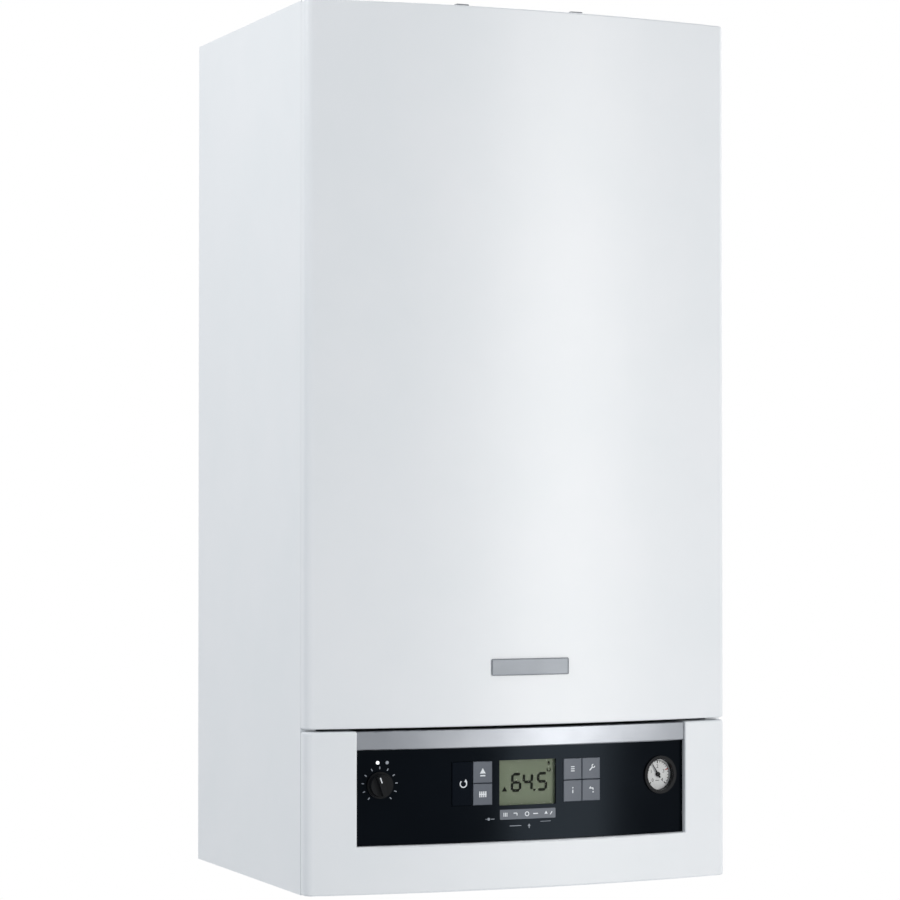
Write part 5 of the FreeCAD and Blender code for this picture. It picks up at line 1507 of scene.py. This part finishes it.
@dataclass
class WaterCircuit:
    """The pump, the valves, the plate stack and the copper pipes.

    Sizes are in millimetres and turns in degrees.
    """

    finishes: dict[str, Finish] = field(default_factory=lambda: {
        "pipe_stubs": COPPER,
        "flow_pipe": COPPER,
        "return_pipe": COPPER,
        "plate_heat_exchanger": STAINLESS,
        "diverter_valve": BRASS,
        "valve_actuator": GREY_ABS,
        "pump_body": BRASS,
        "pump_motor": MOTOR_PAINT,
        "air_vent": BRASS,
        "relief_valve": BRASS,
        "relief_knob": BLACK_ABS,
    })
    arrow_radius: float = 5.5
    arrow_width: float = 1.5
    arrow_start: float = 40.0
    arrow_end: float = 320.0
    arrow_tip_share: float = 1.7  # the radius of the tip over the line's width

    def build(self) -> None:
        """Dresses the parts and marks the cap of the relief valve."""
        dress_all(self.finishes)
        self.cap_arrow()

    def cap_arrow(self) -> None:
        """Makes the round arrow on the relief valve's cap, which shows how far it is turned."""
        arrow = Marks("relief_cap_arrow")
        arrow.arc(
            (0.0, 0.0), self.arrow_radius, self.arrow_width, self.arrow_start, self.arrow_end
        )
        tip = clockwise(self.arrow_start) * self.arrow_radius
        arrow.disc(tuple(tip), self.arrow_width * self.arrow_tip_share, sides=TRIANGLE)
        low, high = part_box("relief_knob")
        middle = (low + high) / 2
        seat = FlatSeat(Vector((middle.x, low.y, middle.z)))
        arrow.lay(seat, "relief_knob", WHITE_INK, "black_moulding")


@dataclass(frozen=True)
class Softbox:
    """A soft studio lamp, placed round the object by its bearing and rise.

    Sizes are in metres and angles in degrees.
    """

    name: str
    bearing: float
    rise: float
    reach: float
    width: float
    height: float
    watts: float
    colour: str

    def build(self, target: Vector) -> None:
        """Hangs the lamp and aims it at a point.

        Args:
            target: The point.
        """
        turn, tilt = math.radians(self.bearing), math.radians(self.rise)
        level = math.cos(tilt)
        back = Vector((math.sin(turn) * level, -math.cos(turn) * level, math.sin(tilt)))
        bpy.ops.object.light_add(type="AREA", location=target + back * self.reach)
        lamp = bpy.context.object
        lamp.name = self.name
        lamp.rotation_euler = (-back).to_track_quat("-Z", "Y").to_euler()
        lamp.data.shape = "RECTANGLE"
        lamp.data.size = self.width
        lamp.data.size_y = self.height
        lamp.data.energy = self.watts
        lamp.data.color = linear(self.colour)[:3]


@dataclass
class Studio:
    """The floor, the light and the camera.

    Sizes are in metres and angles in degrees, and the lens and its sensor are in millimetres.
    """

    floor_drop: float = 0.95
    floor_size: float = 16.0
    floor_colour: str = "#f0f1f2"
    floor_roughness: float = 0.9
    floor_white: float = 0.8  # how much of the floor's near part shows as plain white
    floor_near: float = 0.9  # from here the floor turns wholly white
    floor_far: float = 2.3
    sky: str = "#ebf1f9"
    sky_strength: float = 0.4
    camera_place: Point3 = (-1.16793, -2.97778, -0.348)
    camera_turn: float = 22.433
    camera_tilt: float = 1.011
    lens: float = 120.36
    sensor: float = 36.0
    sight: float = 100.0  # how far the camera sees
    lamps: tuple[Softbox, ...] = (
        Softbox(
            "front_softbox", bearing=27.0, rise=0.0, reach=2.7, width=0.7, height=1.8, watts=31.0,
            colour="#fffbf6",
        ),
        Softbox(
            "side_softbox", bearing=-85.0, rise=34.0, reach=2.1, width=1.2, height=1.2, watts=21.0,
            colour="#fcfbf9",
        ),
        Softbox(
            "back_softbox", bearing=165.0, rise=35.0, reach=2.8, width=1.6, height=1.6, watts=22.0,
            colour=WHITE,
        ),
        Softbox(
            "fill_softbox", bearing=100.0, rise=20.0, reach=2.6, width=1.4, height=1.4, watts=8.0,
            colour=WHITE,
        ),
    )

    def build(self) -> None:
        """Sets up the whole studio."""
        self.floor()
        self.world()
        low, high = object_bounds()
        for lamp in self.lamps:
            lamp.build((low + high) / 2)
        self.camera()
        bpy.context.scene.view_settings.view_transform = "Standard"

    def seen_directly(self, tree: bpy.types.NodeTree) -> bpy.types.NodeSocket:
        """Adds nodes that tell straight, mirrored and refracted views from scattered light.

        Args:
            tree: The tree that takes the nodes.

        Returns:
            A socket that is one in such a view.
        """
        path = add_node(tree, "ShaderNodeLightPath")
        mirror = add_node(tree, "ShaderNodeMath", {"operation": "MAXIMUM"})
        tree.links.new(path.outputs["Is Glossy Ray"], mirror.inputs[0])
        tree.links.new(path.outputs["Is Transmission Ray"], mirror.inputs[1])
        seen = add_node(tree, "ShaderNodeMath", {"operation": "MAXIMUM"})
        tree.links.new(path.outputs["Is Camera Ray"], seen.inputs[0])
        tree.links.new(mirror.outputs[0], seen.inputs[1])
        return seen.outputs[0]

    def floor(self) -> None:
        """Lays a pale floor that keeps the object's shadow."""
        low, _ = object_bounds()
        deselect()
        bpy.ops.mesh.primitive_plane_add(
            size=self.floor_size, location=(0.0, 0.0, low.z - self.floor_drop)
        )
        floor = bpy.context.object
        floor.name = "studio_floor"
        paint = bpy.data.materials.new("pale_studio_floor")
        paint.use_nodes = True
        tree = paint.node_tree
        shader = tree.nodes["Principled BSDF"]
        shader.inputs["Base Color"].default_value = linear(self.floor_colour)
        shader.inputs["Roughness"].default_value = self.floor_roughness
        white = add_node(tree, "ShaderNodeEmission", {"Color": linear(WHITE), "Strength": 1.0})
        place = add_node(tree, "ShaderNodeTexCoord")
        reach = add_node(
            tree,
            "ShaderNodeVectorMath",
            {"operation": "LENGTH"},
            {"Vector": place.outputs["Object"]},
        )
        fade = add_node(
            tree,
            "ShaderNodeMapRange",
            {"From Min": self.floor_near, "From Max": self.floor_far, "To Min": self.floor_white},
            {"Value": reach.outputs["Value"]},
        )
        share = add_node(tree, "ShaderNodeMath", {"operation": "MULTIPLY"})
        tree.links.new(self.seen_directly(tree), share.inputs[0])
        tree.links.new(fade.outputs["Result"], share.inputs[1])
        blend = add_node(tree, "ShaderNodeMixShader", {}, {"Fac": share.outputs[0]})
        tree.links.new(shader.outputs["BSDF"], blend.inputs[1])
        tree.links.new(white.outputs["Emission"], blend.inputs[2])
        tree.links.new(blend.outputs["Shader"], tree.nodes["Material Output"].inputs["Surface"])
        floor.data.materials.append(paint)
        floor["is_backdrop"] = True

    def world(self) -> None:
        """Lights the room softly from all round, before a white background."""
        world = bpy.data.worlds.new("studio_room")
        bpy.context.scene.world = world
        world.use_nodes = True
        tree = world.node_tree
        tree.nodes.clear()
        light = {"Color": linear(self.sky), "Strength": self.sky_strength}
        room = add_node(tree, "ShaderNodeBackground", light)
        white = add_node(tree, "ShaderNodeBackground", {"Color": linear(WHITE), "Strength": 1.0})
        blend = add_node(tree, "ShaderNodeMixShader", {}, {"Fac": self.seen_directly(tree)})
        tree.links.new(room.outputs[0], blend.inputs[1])
        tree.links.new(white.outputs[0], blend.inputs[2])
        add_node(tree, "ShaderNodeOutputWorld", {}, {"Surface": blend.outputs[0]})

    def camera(self) -> None:
        """Stands the camera in front and to the left, almost level with the cover's lower half."""
        tilt = math.radians(90.0 + self.camera_tilt)
        bpy.ops.object.camera_add(
            location=self.camera_place, rotation=(tilt, 0.0, -math.radians(self.camera_turn))
        )
        camera = bpy.context.object
        camera.data.lens = self.lens
        camera.data.sensor_width = self.sensor
        camera.data.clip_end = self.sight
        bpy.context.scene.camera = camera


def main() -> None:
    """Builds every sub-assembly and the studio."""
    logging.basicConfig(level=logging.INFO, format="%(name)s: %(message)s")
    for assembly in (Casing(), ControlUnit(), HeatCell(), FanAndGas(), WaterCircuit()):
        assembly.build()
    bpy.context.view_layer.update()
    Studio().build()


if __name__ == "__main__":
    main()
